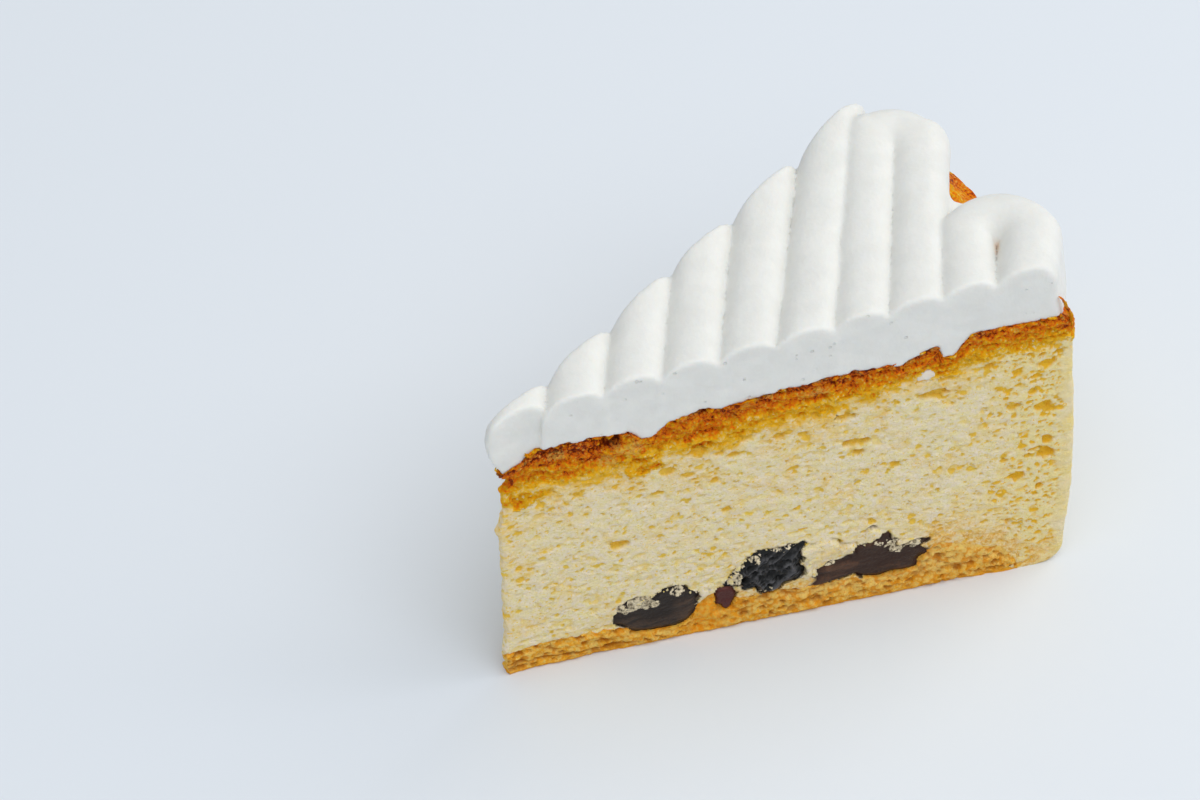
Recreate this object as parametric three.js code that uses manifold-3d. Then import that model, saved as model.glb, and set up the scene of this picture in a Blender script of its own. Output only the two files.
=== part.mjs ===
// One slice of a tall souffle cheesecake. Millimetres, +Z up, tip towards -X, front cut towards -Y.
import * as THREE from 'three';
import { mergeVertices } from 'three/addons/utils/BufferGeometryUtils.js';
import Module from 'manifold-3d';

// ---- Slice: an 18 cm round cake, cut into about eleven ----
const CAKE_RADIUS = 90;
const HALF_ANGLE = THREE.MathUtils.degToRad(33.3 / 2);
const TIP_HALF_WIDTH = 0.8;
const EDGE_ROUNDING = 0.8;
const BOTTOM_ROUNDING = 3.2;
const WALL_BULGE = 0.9;
const GAP = 0.3;
const WELD_DISTANCE = 1e-4;

// ---- Crust height over the floor, by distance from the cake's middle ----
const CRUST_PROFILE = [
  [0, 42.2], [8, 45.6], [20, 45.4], [33, 46.3], [48, 48.0],
  [62, 48.2], [69, 50.3], [77, 52.0], [85, 52.5], [90, 49.6],
];
const CRUST_DEPTH = 8;
const CRUST_LUMP = 5;
const CRUST_LUMP_HEIGHT = 0.4;
const CRUST_CRAG = 0.8;
const CRUMB_ROUGHNESS = 0.16;
const CRUMB_LUMP = 6;
// Splits in the crust that the cream has run into: place along the front cut, width, depth and top.
const CRUST_SPLITS = [
  { at: 22.8, width: 5.0, depth: 2.0, top: 45.4 },
  { at: 69.8, width: 2.4, depth: 3.4, top: 50.6 },
];
const SPLIT_REACH = 9;
// Where a crumb of crust has broken off the tip: height over the floor and half sizes.
const TIP_BITE_HEIGHT = 40.2;
const TIP_BITE = [2.1, 3, 1.5];

// ---- Piped cream ----
const CREAM_TOP = 53.9;
const CREAM_RISE = 9.2;
const STRAND_HALF_WIDTH = 4.85;
const STRAND_CROWN = 5.6;
const STRAND_FOOT = 9;
const STRAND_FOOT_HALF_WIDTH = 4.75;
const TURN_FOOT_HALF_WIDTH = 4.3;
const STRAND_OVERRUN = 9;
const CROWN_POINTS = 12;
const STRAIGHT_STEPS = 3;
const TURN_POINTS = 8;
const TURN_STEPS = 30;
const CREAM_TIP_HALF_WIDTH = 1.7;
const CREAM_TIP_REACH = 2.3;
// How far the cream may reach down below the crust's height, apart from the tip.
const CREAM_SINK = 3;
// Straight strands: where the middle of each crosses the front cut and the back cut.
const STRAIGHT_STRANDS = [[3.0, 4.5], [11.8, 18.1], [20.7, 32.5], [29.5, 46.0], [38.4, 61.0], [47.2, 76.0]];
// Strands that turn back at the rim: where both cross the front cut, and the middle of the turn.
const TURNS = [
  { out: 56.0, back: 64.3, middle: [78.3, 11.6], radius: 4.7 },
  { out: 72.6, back: 81.2, middle: [80.0, -13.0], radius: 5.1 },
];

// ---- Sponge base ----
const BASE_RADIUS = 82;
const BASE_THICKNESS = 4.9;
const BASE_LUMP = 5;
const BASE_LUMP_HEIGHT = 0.45;
// The disc runs past the cuts, the tip and the floor, and the slice's outline trims it.
const BASE_OVERRUN = 3;
const BASE_SHARE = 1.2;
// Places where the base has risen between the fruit: along the front cut, width and height.
const BASE_RISES = [{ at: 33.2, width: 3.6, height: 3.4 }, { at: 70.5, width: 6.5, height: 3.9 }];

// ---- Fruit: distance along its cut, height of the middle, half sizes along, into and up, and tilt ----
const FRUIT_DETAIL = 3;
const FRUIT_WRINKLE = 0.1;
const FRUIT_LUMP = 4.5;
const FRUIT = [
  { name: 'fruit_left', cut: -1, at: 24.0, up: 6.9, half: [7.0, 5.2, 3.9], tilt: 8 },
  { name: 'fruit_small', cut: -1, at: 34.8, up: 6.8, half: [1.7, 2.2, 2.1], tilt: -10 },
  { name: 'fruit_middle', cut: -1, at: 42.2, up: 10.4, half: [6.4, 6.0, 4.7], tilt: 12 },
  { name: 'fruit_right', cut: -1, at: 58.2, up: 8.5, half: [9.3, 6.5, 3.7], tilt: 3 },
  { name: 'fruit_back_inner', cut: 1, at: 38.0, up: 8.0, half: [6.4, 4.6, 4.0], tilt: -7 },
  { name: 'fruit_back_outer', cut: 1, at: 63.5, up: 8.6, half: [7.6, 6.0, 4.3], tilt: 6 },
];

// ---- Larger holes in the cut crumb: distance along its cut, height, half width, half height ----
const PIT_DEPTH = 1.1;
const PITS = [
  { cut: -1, at: 56.3, up: 32.6, wide: 2.4, high: 1.0 },
  { cut: -1, at: 18.8, up: 22.0, wide: 1.9, high: 0.9 },
  { cut: -1, at: 53.7, up: 39.6, wide: 1.9, high: 0.8 },
  { cut: -1, at: 68.6, up: 40.4, wide: 2.3, high: 0.9 },
  { cut: -1, at: 85.0, up: 24.5, wide: 1.5, high: 1.2 },
  { cut: -1, at: 16.2, up: 43.2, wide: 1.9, high: 1.3 },
  { cut: 1, at: 30.0, up: 30.0, wide: 2.1, high: 0.9 },
  { cut: 1, at: 66.0, up: 36.0, wide: 2.4, high: 1.0 },
  { cut: 1, at: 48.0, up: 20.5, wide: 1.8, high: 0.8 },
];

// ---- Thin flakes of crust that stand free: path along the cut and up, how thick and how wide ----
const FLAKE_STEPS = 8;
const FLAKES = [
  { path: [[89.4, 49.0], [88.9, 51.5], [88.0, 53.6], [87.0, 55.2]], thick: 0.7, wide: 3.2 },
  { path: [[2.6, 42.0], [0.6, 42.0], [-0.5, 42.6], [-0.7, 43.7]], thick: 0.6, wide: 1.2 },
];

// ---- Small helpers ----
const smooth = (t) => t * t * (3 - 2 * t);
const clamp01 = (t) => Math.min(1, Math.max(0, t));
const bump = (distance, width) => Math.exp(-((distance / width) ** 2));

// A fixed pseudo-random number in 0..1 for a lattice point.
function latticeValue(i, j, k, seed) {
  const mixed = Math.sin(i * 127.1 + j * 311.7 + k * 74.7 + seed * 19.19) * 43758.5453;
  return mixed - Math.floor(mixed);
}

// Smooth noise in -1..1 with lumps about `size` across.
function lumpNoise(x, y, z, size, seed) {
  const cell = [x / size, y / size, z / size];
  const base = cell.map(Math.floor);
  const part = cell.map((value, axis) => smooth(value - base[axis]));
  let total = 0;
  for (let corner = 0; corner < 8; corner += 1) {
    const step = [corner & 1, (corner >> 1) & 1, (corner >> 2) & 1];
    const weight = step.reduce((product, on, axis) => product * (on ? part[axis] : 1 - part[axis]), 1);
    total += weight * latticeValue(base[0] + step[0], base[1] + step[1], base[2] + step[2], seed);
  }
  return total * 2 - 1;
}

// ---- Plan of the slice ----
// Half of the slice's width at a radius, with a blunt tip instead of a point.
const halfWidth = (radius, tip) => Math.hypot(radius * Math.sin(HALF_ANGLE), tip);

// A point in plan from a radius and a share of the width: -1 on the front cut, 1 on the back cut.
function planPoint(radius, share, tip = TIP_HALF_WIDTH) {
  const angle = share * HALF_ANGLE;
  const y = halfWidth(radius, tip) * Math.sin(angle) / Math.sin(HALF_ANGLE);
  return [radius * Math.cos(angle), y];
}

// A point in plan at a distance along a cut: -1 is the front cut, 1 the back cut.
const cutPoint = (at, cut) => new THREE.Vector2(at * Math.cos(HALF_ANGLE), cut * at * Math.sin(HALF_ANGLE));

// ---- Height functions ----
function profileHeight(radius, profile) {
  const last = profile.length - 1;
  for (let i = 0; i < last; i += 1) {
    const [r0, z0] = profile[i];
    const [r1, z1] = profile[i + 1];
    if (radius <= r1) {
      return z0 + (z1 - z0) * smooth(clamp01((radius - r0) / (r1 - r0)));
    }
  }
  return profile[last][1];
}

function crustHeight(x, y) {
  const lumps = CRUST_LUMP_HEIGHT * lumpNoise(x, y, 0, CRUST_LUMP, 1);
  return profileHeight(Math.hypot(x, y), CRUST_PROFILE) + lumps;
}

function baseHeight(x, y) {
  let height = BASE_THICKNESS + BASE_LUMP_HEIGHT * lumpNoise(x, y, 0, BASE_LUMP, 2);
  for (const rise of BASE_RISES) {
    height += rise.height * bump(Math.hypot(x, y) - rise.at, rise.width);
  }
  return height;
}

// How far the cake's wall stands in from its full radius: rounded at the floor, bulging half way up.
function wallInset(z) {
  const t = clamp01(z / BOTTOM_ROUNDING);
  const bulge = WALL_BULGE * Math.sin(Math.PI * clamp01(z / CRUST_PROFILE[0][1]));
  return BOTTOM_ROUNDING * (1 - Math.sqrt(1 - (1 - t) ** 2)) - bulge;
}

// ---- Building blocks ----
// Moves a point that is close to two or three faces onto a rounding. `near` holds distance and direction.
function roundedOffset(near, rounding) {
  const reach = near.map(({ distance }) => Math.max(0, rounding - distance));
  const length = Math.hypot(...reach);
  const scale = length > rounding ? rounding / length - 1 : 0;
  return near.map(({ direction }, axis) => direction * reach[axis] * scale);
}

// A block of the slice between two radii, a floor and a roof, deformed from a plain box.
function sliceBlock(options) {
  const { inner, outer, floor, roof, parts, rounding, inset, relief } = options;
  const { share = 1, tip = TIP_HALF_WIDTH } = options;
  const box = new THREE.BoxGeometry(1, 1, 1, ...parts);
  const position = box.attributes.position;
  for (let i = 0; i < position.count; i += 1) {
    const u = position.getX(i) + 0.5;
    const v = position.getY(i) * 2;
    const w = position.getZ(i) + 0.5;
    const radius = inner + (outer - inner) * u;
    let [x, y] = planPoint(radius, v * share, tip);
    const low = floor(x, y);
    const high = roof(x, y);
    let z = low + (high - low) * w;
    const offset = roundedOffset([
      { distance: Math.min(u, 1 - u) * (outer - inner), direction: Math.sign(u - 0.5) },
      { distance: (1 - Math.abs(v)) * halfWidth(radius, tip), direction: Math.sign(v) },
      { distance: Math.min(w, 1 - w) * (high - low), direction: Math.sign(w - 0.5) },
    ], rounding);
    const pull = inset ? u * inset(z) / CAKE_RADIUS : 0;
    x += offset[0] - x * pull;
    y += offset[1] - y * pull;
    z += offset[2];
    const push = relief ? relief(x, y, z, high) : 0;
    x += u === 1 ? push : 0;
    y += Math.abs(v) === 1 ? push * v : 0;
    position.setXYZ(i, x, y, z);
  }
  return box;
}

// Roughness of the cut faces and the wall: fine in the crumb, craggy in the browned crust.
function cutRelief(x, y, z, top) {
  const crust = smooth(clamp01(1 - (top - z) / CRUST_DEPTH));
  const depth = CRUMB_ROUGHNESS + (CRUST_CRAG - CRUMB_ROUGHNESS) * crust;
  const size = CRUMB_LUMP + (CRUST_LUMP / 2 - CRUMB_LUMP) * crust;
  return depth * lumpNoise(x, y, z, size, 3);
}

function bodyBlock() {
  return sliceBlock({
    inner: 0,
    outer: CAKE_RADIUS,
    floor: () => 0,
    roof: crustHeight,
    parts: [33, 7, 16],
    rounding: EDGE_ROUNDING,
    inset: wallInset,
    relief: cutRelief,
  });
}

// The disc of sponge, wider than the slice; `grow` makes the room that the cheesecake leaves for it.
function baseDisc(grow) {
  return sliceBlock({
    inner: -BASE_OVERRUN,
    outer: BASE_RADIUS + grow,
    share: BASE_SHARE,
    tip: TIP_HALF_WIDTH + BASE_OVERRUN,
    floor: () => -BASE_OVERRUN,
    roof: (x, y) => baseHeight(x, y) + grow,
    parts: [22, 5, 1],
    rounding: 0,
  });
}

// A knobbly fruit; the blob is whole, and the slice's cuts trim it.
function fruitBlob({ at, up, half, tilt, cut }, grow) {
  const blob = new THREE.IcosahedronGeometry(1, FRUIT_DETAIL);
  const position = blob.attributes.position;
  const seed = at + up;
  for (let i = 0; i < position.count; i += 1) {
    const dir = [position.getX(i), position.getY(i), position.getZ(i)];
    const spot = dir.map((value, axis) => value * half[axis]);
    const size = 1 + FRUIT_WRINKLE * lumpNoise(...spot, FRUIT_LUMP, seed);
    const grown = spot.map((value, axis) => value * size + dir[axis] * grow);
    position.setXYZ(i, ...grown);
  }
  blob.rotateY(THREE.MathUtils.degToRad(-tilt));
  return setIntoCut(blob, at, cut, up);
}

// Turns a shape made along X to lie along a cut, and moves it to its place there.
function setIntoCut(geometry, at, cut, up) {
  const place = cutPoint(at, cut);
  return geometry.rotateZ(cut * HALF_ANGLE).translate(place.x, place.y, up);
}

// A split in the crust: a wedge that narrows downwards and runs in from the front cut.
function splitWedge({ at, width, depth, top }) {
  const bottom = width / 6;
  const section = new THREE.Shape([
    new THREE.Vector2(-width, depth),
    new THREE.Vector2(-bottom, -depth),
    new THREE.Vector2(bottom, -depth),
    new THREE.Vector2(width, depth),
  ]);
  const wedge = new THREE.ExtrudeGeometry(section, { depth: 2 * SPLIT_REACH, bevelEnabled: false });
  wedge.translate(0, 0, -SPLIT_REACH);
  wedge.rotateX(Math.PI / 2);
  return setIntoCut(wedge, at, -1, top);
}

// The bite out of the tip's crust.
function tipBite() {
  const blob = new THREE.IcosahedronGeometry(1, 1);
  blob.scale(...TIP_BITE);
  return blob.translate(0, 0, TIP_BITE_HEIGHT);
}

// A hole left by a large bubble: a flat ellipsoid set into its cut.
function pitBlob({ at, up, wide, high, cut }) {
  const blob = new THREE.IcosahedronGeometry(1, 1);
  blob.scale(wide, PIT_DEPTH, high);
  return setIntoCut(blob, at, cut, up);
}

// A thin curling flake of crust that follows a path in the plane of the front cut.
function flakeBlob({ path, thick, wide }) {
  const inward = new THREE.Vector2(Math.sin(HALF_ANGLE), Math.cos(HALF_ANGLE)).multiplyScalar(wide / 2);
  const points = path.map(([at, z]) => {
    const spot = cutPoint(at, -1).add(inward);
    return new THREE.Vector3(spot.x, spot.y, z);
  });
  const section = new THREE.Shape([
    new THREE.Vector2(-wide / 2, -thick / 2),
    new THREE.Vector2(wide / 2, -thick / 4),
    new THREE.Vector2(wide / 2, thick / 4),
    new THREE.Vector2(-wide / 2, thick / 2),
  ]);
  return sweep(section, new THREE.CatmullRomCurve3(points), FLAKE_STEPS);
}

const sweep = (section, path, steps) => (
  new THREE.ExtrudeGeometry(section, { steps, bevelEnabled: false, extrudePath: path })
);

// ---- Cream ----
const strandHeight = (x, y) => CREAM_TOP + CREAM_RISE * Math.hypot(x, y) / CAKE_RADIUS - STRAND_CROWN;

// Outline of a strand: a round crown over sides that lean in a little towards the foot.
function strandSection(footHalfWidth) {
  const outline = [];
  for (let i = 0; i <= CROWN_POINTS; i += 1) {
    const angle = Math.PI * i / CROWN_POINTS;
    outline.push(new THREE.Vector2(-STRAND_CROWN * Math.sin(angle), STRAND_HALF_WIDTH * Math.cos(angle)));
  }
  outline.push(new THREE.Vector2(STRAND_FOOT, -footHalfWidth));
  outline.push(new THREE.Vector2(STRAND_FOOT, footHalfWidth));
  return new THREE.Shape(outline);
}

const strandPoint = (x, y) => new THREE.Vector3(x, y, strandHeight(x, y));

// Piping runs past both cuts, so that the knife leaves flat ends.
function straightStrand([front, back]) {
  const near = cutPoint(front, -1);
  const far = cutPoint(back, 1);
  const reach = far.clone().sub(near).setLength(STRAND_OVERRUN);
  near.sub(reach);
  far.add(reach);
  const path = new THREE.LineCurve3(strandPoint(near.x, near.y), strandPoint(far.x, far.y));
  return sweep(strandSection(STRAND_FOOT_HALF_WIDTH), path, STRAIGHT_STEPS);
}

function turnedStrand({ out, back, middle, radius }) {
  const centre = new THREE.Vector2(...middle);
  const start = cutPoint(out, -1);
  const end = cutPoint(back, -1);
  const axis = start.clone().add(end).multiplyScalar(0.5).sub(centre).negate().normalize();
  const across = new THREE.Vector2(-axis.y, axis.x);
  const run = [start.clone().addScaledVector(axis, -STRAND_OVERRUN), start];
  for (let i = 0; i <= TURN_POINTS; i += 1) {
    const angle = Math.PI * i / TURN_POINTS;
    const point = centre.clone().addScaledVector(across, radius * Math.cos(angle));
    run.push(point.addScaledVector(axis, radius * Math.sin(angle)));
  }
  run.push(end, end.clone().addScaledVector(axis, -STRAND_OVERRUN));
  const path = new THREE.CatmullRomCurve3(run.map(({ x, y }) => strandPoint(x, y)));
  return sweep(strandSection(TURN_FOOT_HALF_WIDTH), path, TURN_STEPS);
}

// The room between the two cuts that the knife leaves for the cream, a little blunter at the tip.
function creamRoom() {
  return sliceBlock({
    inner: -CREAM_TIP_REACH,
    outer: CAKE_RADIUS + STRAND_OVERRUN,
    tip: CREAM_TIP_HALF_WIDTH,
    floor: (x, y) => {
      const radius = Math.hypot(x, y);
      return profileHeight(radius, CRUST_PROFILE) - CREAM_SINK * clamp01(radius / CREAM_TIP_REACH - 1);
    },
    roof: () => CREAM_TOP + CREAM_RISE * 2,
    parts: [30, 4, 1],
    rounding: CREAM_TIP_HALF_WIDTH,
  });
}

// ---- Solids ----
const wasm = await Module();
wasm.setup();

function solid(geometry) {
  const bare = geometry.clone();
  bare.deleteAttribute('normal');
  bare.deleteAttribute('uv');
  const merged = mergeVertices(bare, WELD_DISTANCE);
  return new wasm.Manifold(new wasm.Mesh({
    numProp: 3,
    vertProperties: merged.attributes.position.array,
    triVerts: new Uint32Array(merged.index.array),
  }));
}

function toGeometry(manifold) {
  const { vertProperties, triVerts } = manifold.getMesh();
  const geometry = new THREE.BufferGeometry();
  geometry.setAttribute('position', new THREE.BufferAttribute(vertProperties, 3));
  geometry.setIndex(new THREE.BufferAttribute(triVerts, 1));
  return geometry;
}

const joinAll = (solids) => solids.reduce((whole, next) => whole.add(next));
const cutAll = (whole, solids) => solids.reduce((rest, next) => rest.subtract(next), whole);

// The cheesecake with its crust, raised by `lift` where it serves to trim the cream.
function cheesecake(lift) {
  const raise = (geometry) => solid(geometry.translate(0, 0, lift));
  const crusted = joinAll([raise(bodyBlock()), ...FLAKES.map((flake) => raise(flakeBlob(flake)))]);
  return cutAll(crusted, CRUST_SPLITS.map((split) => raise(splitWedge(split))));
}

function creamSolid() {
  const strands = [...STRAIGHT_STRANDS.map(straightStrand), ...TURNS.map(turnedStrand)].map(solid);
  const cut = joinAll(strands).intersect(solid(creamRoom()));
  return cutAll(cut, [cheesecake(GAP), cheesecake(0)]);
}

const whole = cheesecake(0);
const fruitRoom = FRUIT.map((fruit) => solid(fruitBlob(fruit, GAP)));
const holes = [tipBite(), ...PITS.map(pitBlob)].map(solid);
const bodySolid = cutAll(whole, [solid(baseDisc(GAP)), ...fruitRoom, ...holes]);
const baseSolid = cutAll(solid(baseDisc(0)).intersect(whole), fruitRoom);

// ---- Finish ----
const material = (color, roughness) => new THREE.MeshStandardMaterial({ color, roughness, metalness: 0 });

const slice = new THREE.Group();
slice.name = 'jiggly_cheesecake';

function place(name, manifold, finish) {
  const mesh = new THREE.Mesh(toGeometry(manifold), finish);
  mesh.name = name;
  slice.add(mesh);
}

place('cheesecake_body', bodySolid, material(0xe9d9a6, 0.8));
place('sponge_base', baseSolid, material(0xc9964a, 0.85));
place('piped_cream', creamSolid(), material(0xeeeeec, 0.55));

// A fruit gives way to the ones listed after it, where they touch.
FRUIT.forEach((fruit, index) => {
  const piece = cutAll(solid(fruitBlob(fruit, 0)).intersect(whole), fruitRoom.slice(index + 1));
  place(fruit.name, piece, material(0x2a1619, 0.35));
});

// The slice is centred over the origin.
const bounds = new THREE.Box3().setFromObject(slice);
const centre = bounds.getCenter(new THREE.Vector3());
for (const mesh of slice.children) {
  mesh.position.set(-centre.x, -centre.y, 0);
}

export default slice;
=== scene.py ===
# One slice of a tall souffle cheesecake with piped cream, a sponge base and dark fruit along the cuts.
# Shapes are in millimetres in the slice's own frame: tip at the origin, +Z up, front cut towards -Y.
# A cut is -1 for the front one and 1 for the far one. Places on it are a distance along it and a height.
import itertools
import math

import bmesh
import bpy
import numpy as np
from mathutils import Matrix, Vector


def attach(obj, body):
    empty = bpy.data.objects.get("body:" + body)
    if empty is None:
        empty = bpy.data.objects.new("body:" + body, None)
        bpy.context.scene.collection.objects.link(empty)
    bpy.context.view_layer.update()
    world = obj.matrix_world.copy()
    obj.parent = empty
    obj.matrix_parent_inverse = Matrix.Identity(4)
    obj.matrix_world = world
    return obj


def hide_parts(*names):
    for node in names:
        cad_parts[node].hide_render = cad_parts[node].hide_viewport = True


MM = 0.001
# The row frame's origin, in the slice's frame.
CENTRE = np.array([44.5824, 0.0045, 0.0])

# ---- Slice, with the sizes of the frame's solids ----
CAKE_RADIUS = 90
HALF_ANGLE = math.radians(33.3 / 2)
TIP_HALF_WIDTH = 0.8
CORNER_ROUNDING = 0.6
WALL_ROUNDING = 1.5
BOTTOM_ROUNDING = 3.2
WALL_BULGE = 0.9
CRUST_PROFILE = np.array([
    [0, 42.2], [8, 45.6], [20, 45.4], [33, 46.3], [48, 48.0],
    [62, 48.2], [69, 50.3], [77, 52.0], [85, 52.5], [90, 49.6],
])
# Where the browned zone ends below the crust, by distance along a cut.
CRUST_BOTTOM = np.array([
    [0, 37.0], [4, 39.0], [9, 37.6], [16, 38.6], [22, 39.2], [31, 39.2], [36, 40.2], [41, 41.6],
    [53, 42.4], [62, 44.0], [69, 45.0], [78, 46.6], [84, 46.4], [90, 46.0],
])
# How brown the crust is, by depth as a share of that zone, on the cuts and on the wall.
CUT_BROWNING = np.array([
    [0, 0.94], [0.05, 0.79], [0.14, 0.65], [0.45, 0.5], [0.7, 0.32], [0.92, 0.18], [1.12, 0.1], [1.4, 0],
])
WALL_BROWNING = np.array([[0, 0.62], [0.1, 0.54], [0.5, 0.4], [1.0, 0.12], [1.3, 0]])
# Golden tongues of the crust, and pale flakes in it, on the front cut: place, half width and half height.
GOLDEN_TONGUES = [
    (3.2, 36.4, 3.0, 2.0), (5.8, 40.4, 2.4, 1.6), (21.7, 37.6, 3.1, 1.5), (31.1, 40.0, 2.3, 1.4),
]
PALE_FLAKES = [(20.9, 42.6, 2.6, 1.6), (16.9, 40.6, 1.3, 1.7), (8.6, 43.4, 1.4, 0.7), (49.0, 45.6, 1.8, 0.7)]
# From here out to the wall the crumb turns yellower and paler, over this width: partly its own colour, partly
# painted light for light shining through the corner.
GLOW_START = 66
GLOW_WIDTH = 18
CRUST_LUMP = 5
CRUST_LUMP_HEIGHT = 0.4
CRUST_WRINKLE = 1.7
CRUST_WRINKLE_HEIGHT = 0.34
# How much higher the crust stands at the wall on the far side.
RIM_RISE = 1.4
# Splits in the crust: place along the front cut, half width at the bottom and at the top on either side,
# depth and top. They end SPLIT_REACH in from the cut, where the crust is whole again.
CRUST_SPLITS = [(22.8, 0.8, 2.9, 2.9, 2.0, 45.4), (69.8, 0.9, 2.3, 3.8, 3.7, 51.6)]
SPLIT_REACH = 9
SPLIT_END = 3
# Notch and knob on the tip's edge: height, width and how far out. It is uneven as far as TIP_REACH.
TIP_NOTCH = (30.5, 0.9, -0.6)
TIP_KNOB = (34.5, 1.6, 0.35)
TIP_REACH = 2.4
# The bite out of the tip's crust: its height, and half sizes.
TIP_BITE_HEIGHT = 40.2
TIP_BITE = np.array([2.1, 3, 1.5])

# ---- Sponge base ----
BASE_RADIUS = 82
BASE_THICKNESS = 4.9
BASE_LUMP = 5
BASE_LUMP_HEIGHT = 0.45
# Where the base stands higher: place, width and how much.
BASE_RISES = [(33.2, 3.6, 3.2), (43, 5.5, 1.1), (58, 6.5, 0.5), (70.5, 6.5, 3.7)]
BASE_END = 3.2
# Its top reaches this far into the crumb. Its height is read a little nearer the tip, so that it also does
# at its end.
BASE_OVERLAP = 0.06
BASE_STRETCH = 0.997
# Where the base's skin has come away near the tip: height at the tip, slope and end of the line.
BASE_SPLIT = (2.2, -0.055, 23)
# Where syrup has soaked the base below the fruit: place and width on the front cut, and on the far one.
SYRUP_FRONT = (32.0, 3.4)
SYRUP_FAR = (50, 6)

# ---- Fruit: cut, place, half sizes along, into and up, tilt in degrees ----
FRUIT = {
    "fruit_left": (-1, 24.0, 6.9, (7.0, 5.2, 3.9), 8),
    "fruit_small": (-1, 34.8, 6.8, (1.7, 2.2, 2.1), -10),
    "fruit_middle": (-1, 42.2, 10.4, (6.4, 6.0, 4.7), 12),
    "fruit_right": (-1, 58.2, 8.5, (9.3, 6.5, 3.7), 3),
    "fruit_back_inner": (1, 38.0, 8.0, (6.4, 4.6, 4.0), -7),
    "fruit_back_outer": (1, 63.5, 8.6, (7.6, 6.0, 4.3), 6),
}
# Knobs and dents in the fruit's outlines: direction in degrees, how far out in half sizes, width in degrees.
FRUIT_KNOBS = {
    "fruit_left": [
        (63, 0.2, 20), (92, -0.24, 10), (122, 0.15, 20), (207, -0.13, 22), (294, 0.24, 27), (352, -0.07, 18),
    ],
    "fruit_small": [(10, 0.16, 35), (140, 0.18, 22), (190, -0.26, 25), (256, -0.26, 18), (298, 0.36, 24)],
    "fruit_middle": [
        (20, -0.12, 10), (38, 0.26, 8), (95, 0.12, 11), (178, 0.2, 10), (197, -0.2, 10), (228, -0.28, 14),
        (287, -0.16, 10), (350, -0.26, 15),
    ],
    "fruit_right": [
        (5, -0.12, 8), (22, 0.12, 11), (45, -0.36, 12), (78, 0.32, 8), (113, -0.25, 9), (135, -0.34, 17),
        (160, -0.12, 10), (218, 0.25, 9), (246, -0.28, 11), (278, 0.12, 8), (304, 0.34, 12), (334, 0.1, 12),
    ],
    "fruit_back_inner": [(60, 0.12, 16), (92, -0.16, 12), (135, 0.1, 14), (250, 0.12, 12), (300, 0.15, 16)],
    "fruit_back_outer": [
        (8, -0.16, 10), (40, -0.2, 14), (78, 0.2, 11), (120, -0.18, 14), (240, 0.12, 12), (305, 0.24, 15),
    ],
}
# How far the fibres turn from a fruit's length, in degrees.
FRUIT_LEAN = {"fruit_middle": 24, "fruit_back_inner": -20}
# Lumps of crumb that lean over the fruit, with a crack above drawn near black, partly syrup stain and partly
# painted shade: cut, place, half width and half height.
CRUMB_LUMPS = [
    (-1, 50.3, 12.7, 3.5, 1.8), (-1, 58.5, 13.6, 1.4, 1.6), (-1, 48.4, 9.8, 0.8, 1.7),
    (-1, 54.6, 11.9, 1.5, 0.9), (-1, 31.6, 8.7, 1.0, 0.9), (1, 54.0, 12.4, 2.2, 1.3),
    (1, 44.5, 11.0, 1.4, 1.0), (1, 70.6, 11.2, 1.2, 1.0),
]
# Crumb rubbed over the fruit's own face: place, half width, half height, how thick it lies.
FROSTING = {
    "fruit_left": [(21.7, 9.3, 3.2, 1.15, 1.0), (18.9, 8.3, 1.0, 0.7, 0.9), (27.3, 10.2, 1.3, 0.9, 0.6)],
    "fruit_small": [],
    "fruit_middle": [
        (36.7, 10.6, 1.2, 2.0, 0.8), (39.6, 13.3, 1.3, 0.9, 0.6), (44.0, 14.8, 3.0, 0.8, 0.35),
        (42.0, 6.4, 2.0, 0.6, 0.3),
    ],
    "fruit_right": [(64.0, 10.6, 3.0, 1.3, 0.9), (59.6, 11.6, 1.0, 0.6, 0.4), (51.0, 9.6, 1.6, 0.7, 0.6)],
    "fruit_back_inner": [(36.0, 10.8, 2.6, 1.0, 0.8), (41.5, 10.0, 1.4, 0.8, 0.5)],
    "fruit_back_outer": [(61.0, 11.6, 3.0, 1.1, 0.8), (67.5, 10.6, 1.6, 1.0, 0.6)],
}
FRUIT_LUMP = 2.25

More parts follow.
